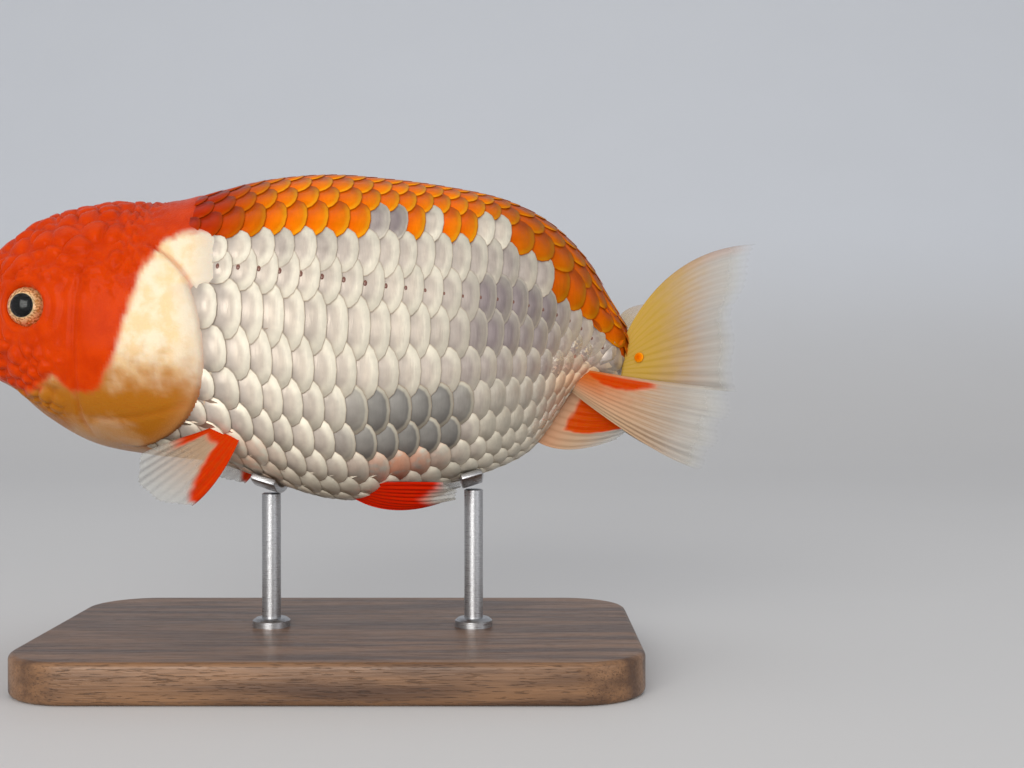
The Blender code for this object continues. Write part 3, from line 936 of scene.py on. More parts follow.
@dataclass(frozen=True)
class StageFinish(Finish):
    """Plain pale floor and backdrop."""

    NAME = "stage"
    SETTINGS = {Shader.ROUGHNESS: 0.7, Shader.SPECULAR: 0.2}

    floor: Color = (0.61, 0.60, 0.595)
    backdrop: Color = (0.73, 0.75, 0.79)
    blend_height: float = 200.0

    def dress(self, bench: NodeBench) -> None:
        """Lay the nodes: the floor's tone passes into the backdrop's as it rises.

        Args:
            bench: The node tree.
        """
        height = bench.add("SeparateXYZ", "Z", {0: bench.place()})
        color = bench.mix(bench.between(height, 0.0, self.blend_height), self.floor, self.backdrop)
        cloud = bench.between(bench.noise(0.01, 2.0), 0.0, 1.0, 0.99, 1.01)
        bench.shade("Base Color", bench.dim(color, cloud))


# ---------------------------------------------------------------------------------- skin


@dataclass
class Skin:
    """The one skin over all the flesh, with the relief of the head."""

    form: BodyForm
    cover: GillCover
    markings: Markings
    finish: Finish
    rings: int = 250
    coat_depth: float = 0.55
    eye_opening: float = 3.6
    wen_size: float = 2.3
    wen_growth: float = 1.3
    wen_height: float = 1.1
    mouth_half_width: float = 6.4
    mouth_z: float = 26.6
    plate_height: float = 0.75
    groove_depth: float = 0.45
    pole_weld: float = 0.002

    # columns between two stations, from the dense head to the trunk under its scales
    COLUMNS = ((0.0, 1.0, 26), (1.0, 3.0, 44), (3.0, 7.6, 96), (7.6, 17.0, 64))
    # x, z and radius of a nostril's two openings
    NOSTRILS = ((5.3, 37.6, 0.8), (6.9, 38.6, 0.65))

    REPLACED = (
        "head",
        "hood",
        "lower_jaw",
        "cheek_left",
        "cheek_right",
        "gill_cover_left",
        "gill_cover_right",
        "shoulder",
        "trunk_front",
        "trunk_rear",
        "tail_stalk",
    )

    def stations(self) -> np.ndarray:
        """Places of the columns along the body."""
        parts = [np.linspace(start, end, count, endpoint=False) for start, end, count in self.COLUMNS]
        return np.append(np.concatenate(parts), self.form.END)

    def wen(self, points: np.ndarray, s: np.ndarray, turn: np.ndarray) -> tuple[np.ndarray, np.ndarray]:
        """Height of the hood's rounded lumps.

        Args:
            points: Places in the fish's measures.
            s: Their stations.
            turn: Their angles.

        Returns:
            Millimetres above the smooth form, and how deep between the lumps each point is.
        """
        away = np.abs(turn)
        crown = smooth_step(s, 0.9, 2.4) * smooth_step(s, 6.7, 5.6) * smooth_step(away, 1.45, 1.0)
        cheek = smooth_step(s, 2.0, 3.0) * smooth_step(s, 5.0, 4.2)
        cheek *= smooth_step(away, 1.5, 1.8) * smooth_step(away, 2.6, 2.2)
        snout = bell(s, 1.6, 0.7) * smooth_step(away, 1.9, 1.3)
        mask = np.maximum(np.maximum(crown, 0.85 * cheek), 0.6 * snout)
        lumps = np.zeros(len(points))
        valleys = np.zeros(len(points))
        for index in np.flatnonzero(mask > 0.01):
            place = Vector(points[index])
            size = self.wen_size + self.wen_growth * crown[index]
            near = noise.voronoi(place / size)[0]
            fine = noise.voronoi(place / (0.45 * size) + Vector((7.1, 3.3, 5.2)))[0]
            berry = math.sqrt(max(0.0, 1.0 - (near[0] / 0.85) ** 2)) * min(1.0, 4.0 * (near[1] - near[0]))
            lumps[index] = berry + 0.2 * math.sqrt(max(0.0, 1.0 - fine[0] ** 2))
            valleys[index] = max(0.0, 1.0 - 5.0 * (near[1] - near[0]))
        return mask * (0.1 + self.wen_height * lumps), mask * valleys

    def mouth(self, points: np.ndarray) -> tuple[np.ndarray, np.ndarray]:
        """Lips round a small mouth at the tip of the snout.

        Args:
            points: Places in the fish's measures.

        Returns:
            Millimetres above the smooth form, and painted shade by how deep in the creases each point is.
        """
        x, y, z = points.T
        wide = np.abs(y) / self.mouth_half_width
        off = z - (self.mouth_z - 2.6 * wide**2 + 0.9 * bell(y, 0.0, 1.6))
        fade = smooth_step(wide, 1.12, 0.9) * smooth_step(x, 9.0, 6.0)
        slit = bell(off, 0.0, 0.42) * fade
        lips = (bell(off, 1.35, 0.8) + 0.9 * bell(off, -1.25, 0.75)) * fade
        fold = bell(np.hypot(y / 9.4, (z - 26.2) / 6.4), 1.0, 0.055)
        fold = fold * smooth_step(x, 10.0, 7.0) * smooth_step(z, 21.5, 24.0)
        return 0.95 * lips - 1.5 * slit - 0.55 * fold, np.clip(slit + 0.35 * fold, 0, 1)

    def nostrils(self, points: np.ndarray) -> tuple[np.ndarray, np.ndarray]:
        """A pair of openings with a raised flap between them on either side.

        Args:
            points: Places in the fish's measures.

        Returns:
            Millimetres above the smooth form, and painted shade by how deep in an opening each point is.
        """
        x, y, z = points.T
        height = np.zeros(len(points))
        dark = np.zeros(len(points))
        for pit_x, pit_z, size in self.NOSTRILS:
            near = np.hypot(x - pit_x, z - pit_z) / size
            side = smooth_step(np.abs(y), 5.5, 6.5)
            height += (0.5 * bell(near, 1.45, 0.45) - 1.3 * bell(near, 0.0, 0.75)) * side
            dark += bell(near, 0.0, 0.6) * side
        return height, np.clip(dark, 0, 1)

    def eye_rim(self, points: np.ndarray) -> np.ndarray:
        """The opening for each eye, with a rounded rim.

        Args:
            points: Places in the fish's measures.

        Returns:
            Millimetres above the smooth form.
        """
        height = np.zeros(len(points))
        for node in ("eye_left", "eye_right"):
            low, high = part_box(node)
            middle = self.form.measure((low + high) / 2)
            near = np.hypot(points[:, 0] - middle[0], points[:, 2] - middle[2])
            same = smooth_step(points[:, 1] * np.sign(middle[1]), 8.0, 11.0)
            rim = 0.55 * bell(near, self.eye_opening + 0.55, 0.6)
            rim = rim + 0.25 * bell(near, self.eye_opening + 2.2, 0.8)
            height += same * (rim - 2.6 * smooth_step(near, self.eye_opening, self.eye_opening - 0.7))
        return height

    def gill_relief(self, s: np.ndarray, turn: np.ndarray) -> tuple[np.ndarray, np.ndarray]:
        """The raised gill cover, its sharp rear edge and the ridges on it.

        Args:
            s: Stations.
            turn: Angles.

        Returns:
            Millimetres above the smooth form, and painted shade by how deep in the creases each point is.
        """
        share = self.cover.share(turn)
        front, rear = self.cover.edges(turn)
        reach = np.linalg.norm(self.form.along(s, turn), axis=-1)
        inside = (rear - s) * reach
        ends = smooth_step(share, -0.04, 0.05) * smooth_step(share, 1.04, 0.95)
        lift = np.clip((s - front) / (rear - front), 0.0, 1.0) ** 1.5
        plate = self.plate_height * lift * smooth_step(inside, -0.15, 0.35) * ends
        groove = self.groove_depth * bell(inside, -0.55, 0.5) * ends
        seam = bell((s - front) * reach, 0.0, 0.45)
        seam = seam * smooth_step(share, 0.0, 0.15) * smooth_step(share, 1.0, 0.85)
        suture = share - 0.80 + 0.16 * lift
        lower = bell(suture * 36.0, 0.0, 0.55) * smooth_step(inside, 0.6, 1.8)
        lower = lower * smooth_step(s, front + 0.05, front + 0.25)
        fan = np.sin(52.0 * np.arctan2(share + 0.05, s - front + 0.25)) * 0.05 * plate
        fan = fan * smooth_step(suture, 0.02, -0.05)
        # painted shade in the groove behind the cover's rear edge
        dark = 0.9 * groove / self.groove_depth * smooth_step(inside, 0.3, -0.3)
        crease = np.clip(dark + 0.3 * seam + 0.15 * lower, 0, 1)
        return plate - groove - 0.4 * seam - 0.16 * lower + fan, crease

    def build(self) -> bpy.types.Object:
        """Model and dress the skin.

        Returns:
            Its object.
        """
        stations = self.stations()
        mesh = to_mesh(grid_mesh(len(stations) - 1, self.rings, walls=False), "skin")
        flat = corners_of(mesh)
        s = np.interp(flat[:, 0] * (len(stations) - 1), np.arange(len(stations)), stations)
        turn = (flat[:, 1] * 2 - 1) * math.pi
        points = self.form.point(s, turn)
        normals = self.form.normal(s, turn)
        v = np.abs(turn) / math.pi
        trunk = smooth_step(s - self.cover.scale_edge(turn), -0.05, 0.24)
        gill, gill_shade = self.gill_relief(s, turn)
        mouth, mouth_shade = self.mouth(points)
        nostril, nostril_shade = self.nostrils(points)
        wen, valleys = self.wen(points, s, turn)
        height = -self.coat_depth * trunk + wen * (1 - trunk)
        height += gill + mouth + nostril + self.eye_rim(points)
        ragged = [noise.noise(Vector(p) * 0.45) + 0.5 * noise.noise(Vector(p) * 1.3) for p in points]
        ragged = np.array(ragged)
        bare = self.markings.head(points[:, 0], v, points[:, 2], ragged)
        red = bare * (1 - trunk) + self.markings.saddle(s, v, 0.01) * trunk
        x, _, z = points.T
        # gold below the hood, in a colour darkened in part as painted shade
        gold = smooth_step(z + 2.0 * ragged, 29.0, 19.0) * (1 - trunk)
        patch = np.hypot((x - 26.0) / 8.0, (z - 11.5) / 5.0) + 0.25 * ragged
        gold *= 1 - 0.25 * smooth_step(patch, 1.1, 0.6)
        store(mesh, "red", red)
        store(mesh, "gold", gold)
        store(mesh, "pearly", smooth_step(s - self.cover.scale_edge(turn), -0.5, 0.1) * (1 - 0.85 * gold))
        # painted shade in the gill groove and seams, the mouth, the nostrils and between the hood's lumps
        store(mesh, "crease", np.clip(gill_shade + mouth_shade + nostril_shade + 0.5 * valleys, 0, 1))
        points = points + normals * height[:, None]
        for end in (0.0, self.form.END):
            pole = np.isclose(s, end, rtol=0.0, atol=0.001)
            points[pole] = points[pole].mean(axis=0)
        move_corners(mesh, self.form.place(points))
        seal(mesh, self.pole_weld * MM)
        return add_piece(mesh, self.finish, self.REPLACED)


# -------------------------------------------------------------------------------- scales


@dataclass
class ScaleCoat:
    """Scales in staggered rows over one flank, each a thin domed plate whose rear margin lies
    over the next. Pitches and thicknesses are in millimetres, margins along the body in
    stations, and the row's room in its own spacing."""

    form: BodyForm
    cover: GillCover
    markings: Markings
    finish: Finish
    side: Side
    rows_below: int = 8
    thickness: float = 0.05
    slope: float = 0.056
    dome: float = 0.034
    clearance: float = 0.075
    tall: float = 0.74
    square: float = 2.35
    least_gap: float = 2.5
    rim_points: int = 16
    patch: float = 0.0015
    first_station: float = 5.6
    tail_margin: float = 0.3
    bare_overlap: float = 0.12
    row_room: float = 0.4
    fan_start: float = 12.1
    fan_middle: float = 10.88
    settle_rounds: int = 120
    settle_push: float = 0.2
    lone_reach: float = 1.45

    # widths of the rings inside the template's rim
    INSETS = (0.08, 0.34)

    # stations, and the pitch there in millimetres
    PITCH = ((6.0, 3.1), (7.5, 3.4), (9.3, 3.6), (10.3, 3.15), (12.0, 3.0), (15.0, 3.0), (16.5, 2.6))
    # stations, and the lateral line's share of the way from back to belly there
    LINE = (
        (6.0, 0.355),
        (7.5, 0.368),
        (8.5, 0.377),
        (9.5, 0.386),
        (10.5, 0.399),
        (11.2, 0.414),
        (13.4, 0.432),
        (17.0, 0.442),
    )
    # stations, and the shares there of the rows above the line; the last is the mid-dorsal row
    UPPER_AT = (9.5, 12.0, 13.4, 15.0)
    UPPER = (
        (0.326, 0.334, 0.326, 0.280),
        (0.254, 0.238, 0.225, 0.195),
        (0.190, 0.160, 0.150, 0.130),
        (0.130, 0.098, 0.090, 0.080),
        (0.065, 0.045, 0.042, 0.040),
        (0.0, 0.0, 0.0, 0.0),
    )
    # stations, and how far the scales of each row lie ahead of an even stagger there
    LEAN_AT = (9.5, 10.9, 12.1, 13.0)
    LEAN = {
        3: (0.06, 0.13, 0.15, 0.15),
        2: (0.03, 0.09, 0.10, 0.10),
        1: (0.02, 0.04, 0.05, 0.04),
        0: (0.05, 0.04, 0.02, 0.01),
        -1: (0.06, 0.06, 0.03, 0.01),
        -2: (0.03, 0.04, 0.02, 0.0),
        -3: (0.0, 0.0, 0.0, 0.0),
        -4: (0.03, 0.03, 0.03, 0.03),
    }
    # how far the spacing opens out towards the tail, above the line, and on the lower flank
    FAN_ABOVE = {1: 0.12, 2: 0.36, 3: 0.42}
    FAN_BELOW = {0: 0.05, -1: 0.10, -2: 0.16, -3: 0.22}
    # places in millimetres of the lone red scales below the saddle
    LONE = {Side.LEFT: (80.0, 86.2, 89.2), Side.RIGHT: (77.0, 83.4, 92.4)}

    def template(self) -> bpy.types.Mesh:
        """One flat scale: rings inside a circle, drawn out to a second layer.

        Returns:
            Its mesh, with the upper layer at z 1.
        """
        shape = bmesh.new()
        bmesh.ops.create_circle(shape, cap_ends=True, radius=1.0, segments=self.rim_points)
        for ring in self.INSETS:
            middle = [face for face in shape.faces if len(face.verts) == self.rim_points]
            bmesh.ops.inset_region(shape, faces=middle, thickness=ring, use_even_offset=True)
        middle = [face for face in shape.faces if len(face.verts) == self.rim_points]
        bmesh.ops.poke(shape, faces=middle)
        draw_out(shape, bmesh.ops.extrude_face_region(shape, geom=shape.faces[:])["geom"], (0, 0, 1))
        under = [face for face in shape.faces if all(abs(vert.co.z) < 0.5 for vert in face.verts)]
        bmesh.ops.dissolve_faces(shape, faces=under, use_verts=True)
        bmesh.ops.recalc_face_normals(shape, faces=shape.faces)
        return to_mesh(shape, "scale_template")

    def line(self, s: np.ndarray) -> np.ndarray:
        """The lateral line's share of the way from back to belly."""
        return np.interp(s, *zip(*self.LINE))

    def half_girth(self, s: float) -> float:
        """How far it is round one flank.

        Args:
            s: The station.

        Returns:
            Millimetres from back to belly.
        """
        turns = np.linspace(0.0, math.pi, 25)
        points = self.form.point(np.full(25, s), turns)
        return float(np.linalg.norm(np.diff(points, axis=0), axis=1).sum())

    def row_share(self, row: int, s: float) -> float:
        """Where a row lies.

        Args:
            row: Its number, counted up from the lateral line and down below it.
            s: The station.

        Returns:
            Its share of the way from back to belly, outside 0 to 1 once the narrowing
            stalk has no room for it.
        """
        line = float(self.line(s))
        least = self.least_gap / self.half_girth(s)
        if row > 0:
            return min(float(np.interp(s, self.UPPER_AT, self.UPPER[row - 1])), line - row * least)
        even = (1 - line) / self.rows_below
        return line - row * max(even, least)

    def row_gap(self, row: int, s: float) -> float:
        """Spacing of the rows beside this one, leaning to the wider side.

        Args:
            row: Its number.
            s: The station.

        Returns:
            The spacing as a share of the way from back to belly.
        """
        share, lower = self.row_share(row, s), self.row_share(row - 1, s)
        upper = self.row_share(row + 1, s) if row < len(self.UPPER) else 2 * share - lower
        gaps = (abs(share - upper), abs(share - lower))
        return 0.65 * max(gaps) + 0.35 * min(gaps)

    def station(self, row: int, even: float) -> float:
        """Where a scale lies along the body.

        Args:
            row: Its row's number.
            even: Its station in an even lattice.

        Returns:
            The station, with the row's lean and the opening of its columns.
        """
        lean = float(np.interp(even, self.LEAN_AT, self.LEAN[min(max(row, -4), 3)]))
        if row > 0:
            fan = self.FAN_ABOVE[min(row, 3)] * max(even - self.fan_start, 0.0)
        else:
            fan = self.FAN_BELOW[max(row, -3)] * math.tanh(even - self.fan_middle)
        return even + fan - lean

    def columns(self) -> np.ndarray:
        """Lay out the even rows; the odd rows' scales lie halfway between theirs.

        Returns:
            The stations of their scales.
        """
        places = [self.first_station]
        while places[-1] < self.form.END - 0.45:
            s = np.array(places[-1])
            reach = np.linalg.norm(self.form.along(s, self.line(s) * math.pi))
            places.append(float(s + np.interp(s, *zip(*self.PITCH)) / reach))
        return np.array(places)

    def lattice(self) -> np.ndarray:
        """All scales of this flank.

        Returns:
            One row each: station, turn, pitch, row spacing and row.
        """
        columns = self.columns()
        found = []
        for row in range(-self.rows_below, len(self.UPPER) + 1):
            middle = row in (-self.rows_below, len(self.UPPER))
            if middle and self.side is Side.RIGHT:
                continue
            for index in range(len(columns) - 1):
                step = columns[index + 1] - columns[index]
                even = columns[index] + (0.5 * step if row % 2 else 0.0)
                s = self.station(row, even)
                if s > self.form.END - self.tail_margin:
                    continue
                step *= (self.station(row, even + 0.1) - self.station(row, even - 0.1)) / 0.2
                share = self.row_share(row, s)
                gap = self.row_gap(row, s)
                if middle:
                    share = float(row < 0) if abs(share - float(row < 0)) < 0.03 else -1.0
                elif not self.row_room * gap < share < 1 - self.row_room * gap:
                    share = -1.0
                past = s - float(self.cover.scale_edge(np.array(share * math.pi)))
                if share < 0 or past < -self.bare_overlap:
                    continue
                small = 0.72 + 0.28 * min(1.0, past / (1.6 * step))
                turn = share * math.pi * self.side.value
                found.append((s, turn, step * small, gap * math.pi * small, row))
        return np.array(found)

    def layers(self, scales: np.ndarray, size: np.ndarray, rise: np.ndarray) -> np.ndarray:
        """Settle the scales so that each lies clear above or below every one it overlaps.

        Args:
            scales: Their lattice.
            size: How far each reaches along the body, in stations.
            rise: How steeply each stands, in millimetres for each station.

        Returns:
            Millimetres by which each is raised.
        """
        s, turn, gap, row = scales[:, 0], scales[:, 1], scales[:, 3], scales[:, 4]
        size = size[:, 0]
        first, second = np.triu_indices(len(scales), 1)
        near = np.abs(s[first] - s[second]) < size[first] + size[second]
        near &= np.abs(turn[first] - turn[second]) < self.tall * (gap[first] + gap[second])
        first, second = first[near], second[near]
        rear = s + size
        above = 0.5 * (rise[first] + rise[second]) * (rear[second] - rear[first])
        above += 0.01 * (row[first] - row[second])
        order = np.where(above > 0, 1.0, -1.0)
        lift = np.zeros(len(scales))
        for _ in range(self.settle_rounds):
            short = np.maximum(self.clearance - order * (above + lift[first] - lift[second]), 0.0)
            np.add.at(lift, first, self.settle_push * order * short)
            np.add.at(lift, second, -self.settle_push * order * short)
        return lift

    def tints(self, x: np.ndarray, v: np.ndarray, rng: np.random.Generator) -> dict[str, np.ndarray]:
        """How each scale is coloured, apart from red or white.

        Args:
            x: Places along the body in millimetres.
            v: Shares of the way from the back to the belly.
            rng: Where the scatter of tones comes from.

        Returns:
            Shares for each scale, by the names that the finish reads.
        """
        # lavender behind and in a dark core, painted dark reflection in the silvery scales; lavender also in
        # a few patches, under a scatter of tones
        behind = smooth_step(x, 80.0, 92.0) * smooth_step(v, 0.26, 0.36) * smooth_step(v, 0.80, 0.64)
        core = smooth_step(x, 84.0, 92.0) * smooth_step(x, 108.0, 101.0) * bell(v, 0.45, 0.09)
        upper = smooth_step(x, 50.0, 58.0) * smooth_step(x, 80.0, 72.0) * bell(v, 0.32, 0.04)
        low = smooth_step(x, 55.0, 64.0) * bell(v, 0.70, 0.11)
        shoulder = bell(x, 75.0, 3.4) * bell(v, 0.25, 0.04)
        lavender = np.maximum.reduce([0.55 * behind, core, 0.35 * upper, 0.2 * low, shoulder])
        # the dark flesh shows inside a pale outline, low on the flank
        slate = smooth_step(x, 63.0, 72.0) * smooth_step(x, 88.2, 86.2)
        slate = slate * (smooth_step(v, 0.56, 0.62) * smooth_step(v, 0.80, 0.74))
        # the pearl gives way to plain cream on the belly and behind
        cream = smooth_step(x, 87.0, 92.0) * smooth_step(v, 0.56, 0.68)
        cream = 0.8 * np.maximum(smooth_step(v, 0.74, 0.84), cream)
        # red spreads from the roots of the pelvic and pectoral fins
        pelvic = bell(x, 76.0, 5.6) * bell(v, 0.795, 0.03)
        pectoral = 0.35 * bell(x, 49.0, 5.5) * smooth_step(v, 0.70, 0.80)
        # flecks of bare silver show through near the tail
        fleck_high = bell(x, 107.0, 4.2) * bell(v + 0.014 * (x - 107.0), 0.525, 0.030)
        fleck_low = bell(x, 102.6, 2.6) * bell(v, 0.79, 0.035)
        return {
            "grey": np.clip(0.08 + lavender + rng.uniform(-0.12, 0.12, len(x)), 0.0, 1.0),
            "slate": slate,
            "stain": np.maximum(pelvic, pectoral),
            "creamy": cream,
            "flesh": smooth_step(x, 101.0, 106.0) * bell(v, 0.66, 0.09),
            "glint": np.clip(1.3 * np.maximum(fleck_high, fleck_low), 0.0, 1.0),
            "glow": smooth_step(x, 46.0, 60.0) * smooth_step(x, 98.0, 86.0),
            # deeper red towards the nape, in part painted shade
            "nape": smooth_step(x, 55.0, 43.0),
            "tone": rng.uniform(0.0, 1.0, len(x)),
        }

    def relief(self, x: np.ndarray, v: np.ndarray) -> np.ndarray:
        """How far the scales stand out: boldly in front, hardly at all behind and below.

        Args:
            x: Places along the body in millimetres.
            v: Shares of the way from the back to the belly.

        Returns:
            Shares of the full height.
        """
        behind = smooth_step(x, 82.0, 94.0) * smooth_step(v, 0.36, 0.44)
        belly = smooth_step(v, 0.70, 0.80)
        crown = smooth_step(v, 0.22, 0.10)
        return 1.0 - np.maximum.reduce([0.28 * behind, 0.25 * belly, 0.2 * crown])

    def reds(self, scales: np.ndarray, x: np.ndarray) -> np.ndarray:
        """Which scales are red: the saddle's, and a few lone ones below it.

        Args:
            scales: Their lattice.
            x: Their places along the body in millimetres.

        Returns:
            1 for each red scale and 0 for each white one.
        """
        v = np.abs(scales[:, 1]) / math.pi
        red = self.markings.saddle(scales[:, 0], v, 0.004)
        lone = np.abs(x[:, None] - np.array(self.LONE[self.side])).min(axis=1) < self.lone_reach
        return np.where((scales[:, 4] == 2) & lone, 1.0, red)

    def lay(self, scales: np.ndarray, unit: np.ndarray, rng: np.random.Generator) -> np.ndarray:
        """Lay the template down at every place of the lattice.

        Args:
            scales: The lattice.
            unit: The template's corners.
            rng: Where the small differences in size and slope come from.

        Returns:
            Places in the frame, for each scale and each corner.
        """
        radius = np.hypot(unit[:, 0], unit[:, 1])
        s0, turn0, step, gap = (scales[:, k][:, None] for k in range(4))
        swell = rng.uniform(0.97, 1.04, (len(scales), 1))
        tilt = rng.uniform(0.98, 1.02, (len(scales), 1)) * self.slope
        circle = unit[:, :2] / np.maximum(radius, 1e-6)[:, None]
        squared = np.sign(circle) * np.abs(circle) ** (2 / self.square) * radius[:, None]
        s = np.clip(s0 + step * squared[:, 0] * swell, 0.5, self.form.END - 0.05)
        turn = turn0 + gap * squared[:, 1] * self.tall * swell
        points = self.form.point(s, turn)
        reach = np.linalg.norm(self.form.along(s, turn), axis=-1)
        height = tilt * reach * (s - s0 - step * swell) + self.dome * (1 - radius[None, :] ** 2)
        height += self.layers(scales, step * swell, self.slope * reach.mean(axis=1))[:, None]
        height *= self.relief(points[..., 0], np.abs(turn) / math.pi)
        height -= self.thickness * (unit[None, :, 2] < 0.5)
        return self.form.place(points + self.form.normal(s, turn) * height[..., None])

    def build(self) -> bpy.types.Object:
        """Model and dress this flank's scales.

        Returns:
            The joined scales.
        """
        rng = np.random.default_rng(SEED + self.side.value)
        template = self.template()
        unit = corners_of(template)
        scales = self.lattice()
        shape = bmesh.new()
        for _ in range(len(scales)):
            shape.from_mesh(template)
        mesh = to_mesh(shape, f"scales_{self.side.name.lower()}")
        bpy.data.meshes.remove(template)
        move_corners(mesh, self.lay(scales, unit, rng).reshape(-1, 3))
        # turns run against the template's own handedness, which leaves it inside out
        mesh.flip_normals()
        middle_x = self.form.point(scales[:, 0], scales[:, 1])[:, 0]
        tints = self.tints(middle_x, np.abs(scales[:, 1]) / math.pi, rng)
        tints["red"] = self.reds(scales, middle_x)
        for name, values in tints.items():
            store(mesh, name, np.repeat(values, len(unit)))
        rise = unit[:, 1] * self.side.value
        for name, values in (("rim", np.hypot(unit[:, 0], unit[:, 1])), ("lie", unit[:, 0]), ("rise", rise)):
            store(mesh, name, np.tile(values, len(scales)))
        self.unwrap(mesh, scales, unit)
        mesh.shade_smooth()
        return add_piece(mesh, self.finish)

    def unwrap(self, mesh: bpy.types.Mesh, scales: np.ndarray, unit: np.ndarray) -> None:
        """Give each scale a small patch at its own place on an unwrap of the body.

        Args:
            mesh: The joined scales.
            scales: Their lattice.
            unit: The template's corners.
        """
        layer = mesh.uv_layers.new(name=SCALE_MAP)
        vertex = np.empty(len(mesh.loops), np.int32)
        mesh.loops.foreach_get("vertex_index", vertex)
        which, corner = vertex // len(unit), vertex % len(unit)
        lowest = np.zeros(len(mesh.loops), bool)
        for polygon in mesh.polygons:
            if len(polygon.vertices) == self.rim_points:
                lowest[polygon.loop_start : polygon.loop_start + polygon.loop_total] = True
        u = 0.04 + 0.92 * scales[which, 0] / self.form.END
        w = 0.5 + 0.47 * scales[which, 1] / math.pi
        size = np.where(lowest, 0.3, np.where(unit[corner, 2] < 0.5, 1.12, 1.0)) * self.patch
        u = u + size * unit[corner, 0] * 0.9 + np.where(lowest, 1.25 * self.patch, 0.0)
        w = w + size * unit[corner, 1] * 0.75 + np.where(lowest, 0.75 * self.patch, 0.0)
        layer.data.foreach_set("uv", np.stack([u, w], axis=-1).astype(np.float32).ravel())


@dataclass
class LateralLine:
    """The row of small dark pores along each flank."""

    coat: ScaleCoat
    finish: Finish
    size: float = 0.42

    def build(self) -> bpy.types.Object:
        """Model and dress one flank's pores.

        Returns:
            The joined pores.
        """
        form = self.coat.form
        shape = bmesh.new()
        for s, turn, step, _gap, row in self.coat.lattice():
            if row != 0 or s > form.END - 1.2:
                continue
            place_s = np.array(s + 0.05 * step)
            point = form.point(place_s, np.array(turn))
            normal = form.normal(place_s, np.array(turn))
            size = self.size * (1.0 - 0.4 * float(smooth_step(point[0], 72.0, 86.0)))
            middle = Vector(form.place(point - normal * (0.08 + 0.4 * size)))
            laid = facing(middle, Vector(normal), "X") @ Matrix.Diagonal((1.35, 0.9, 0.55, 1.0))
            bmesh.ops.create_icosphere(shape, subdivisions=2, radius=size * MM, matrix=laid)
        shade_smooth(shape)
        mesh = to_mesh(shape, f"lateral_line_{self.coat.side.name.lower()}")
        return add_piece(mesh, self.finish)


# ---------------------------------------------------------------------------------- fins


@dataclass(frozen=True)
class Ray:
    """One fin ray as a curve from its root past a bend to its tip."""

    root: Point
    bend: Point
    tip: Point


class Stain(Enum):
    """Where the colour lies on a fin."""

    EDGES = "both edges and the root"
    ROOT = "root and middle"
    BLOCK = "a solid block behind a pale leading edge"
    STREAK = "a streak along the first ray"
    OCHRE = "an ochre root"


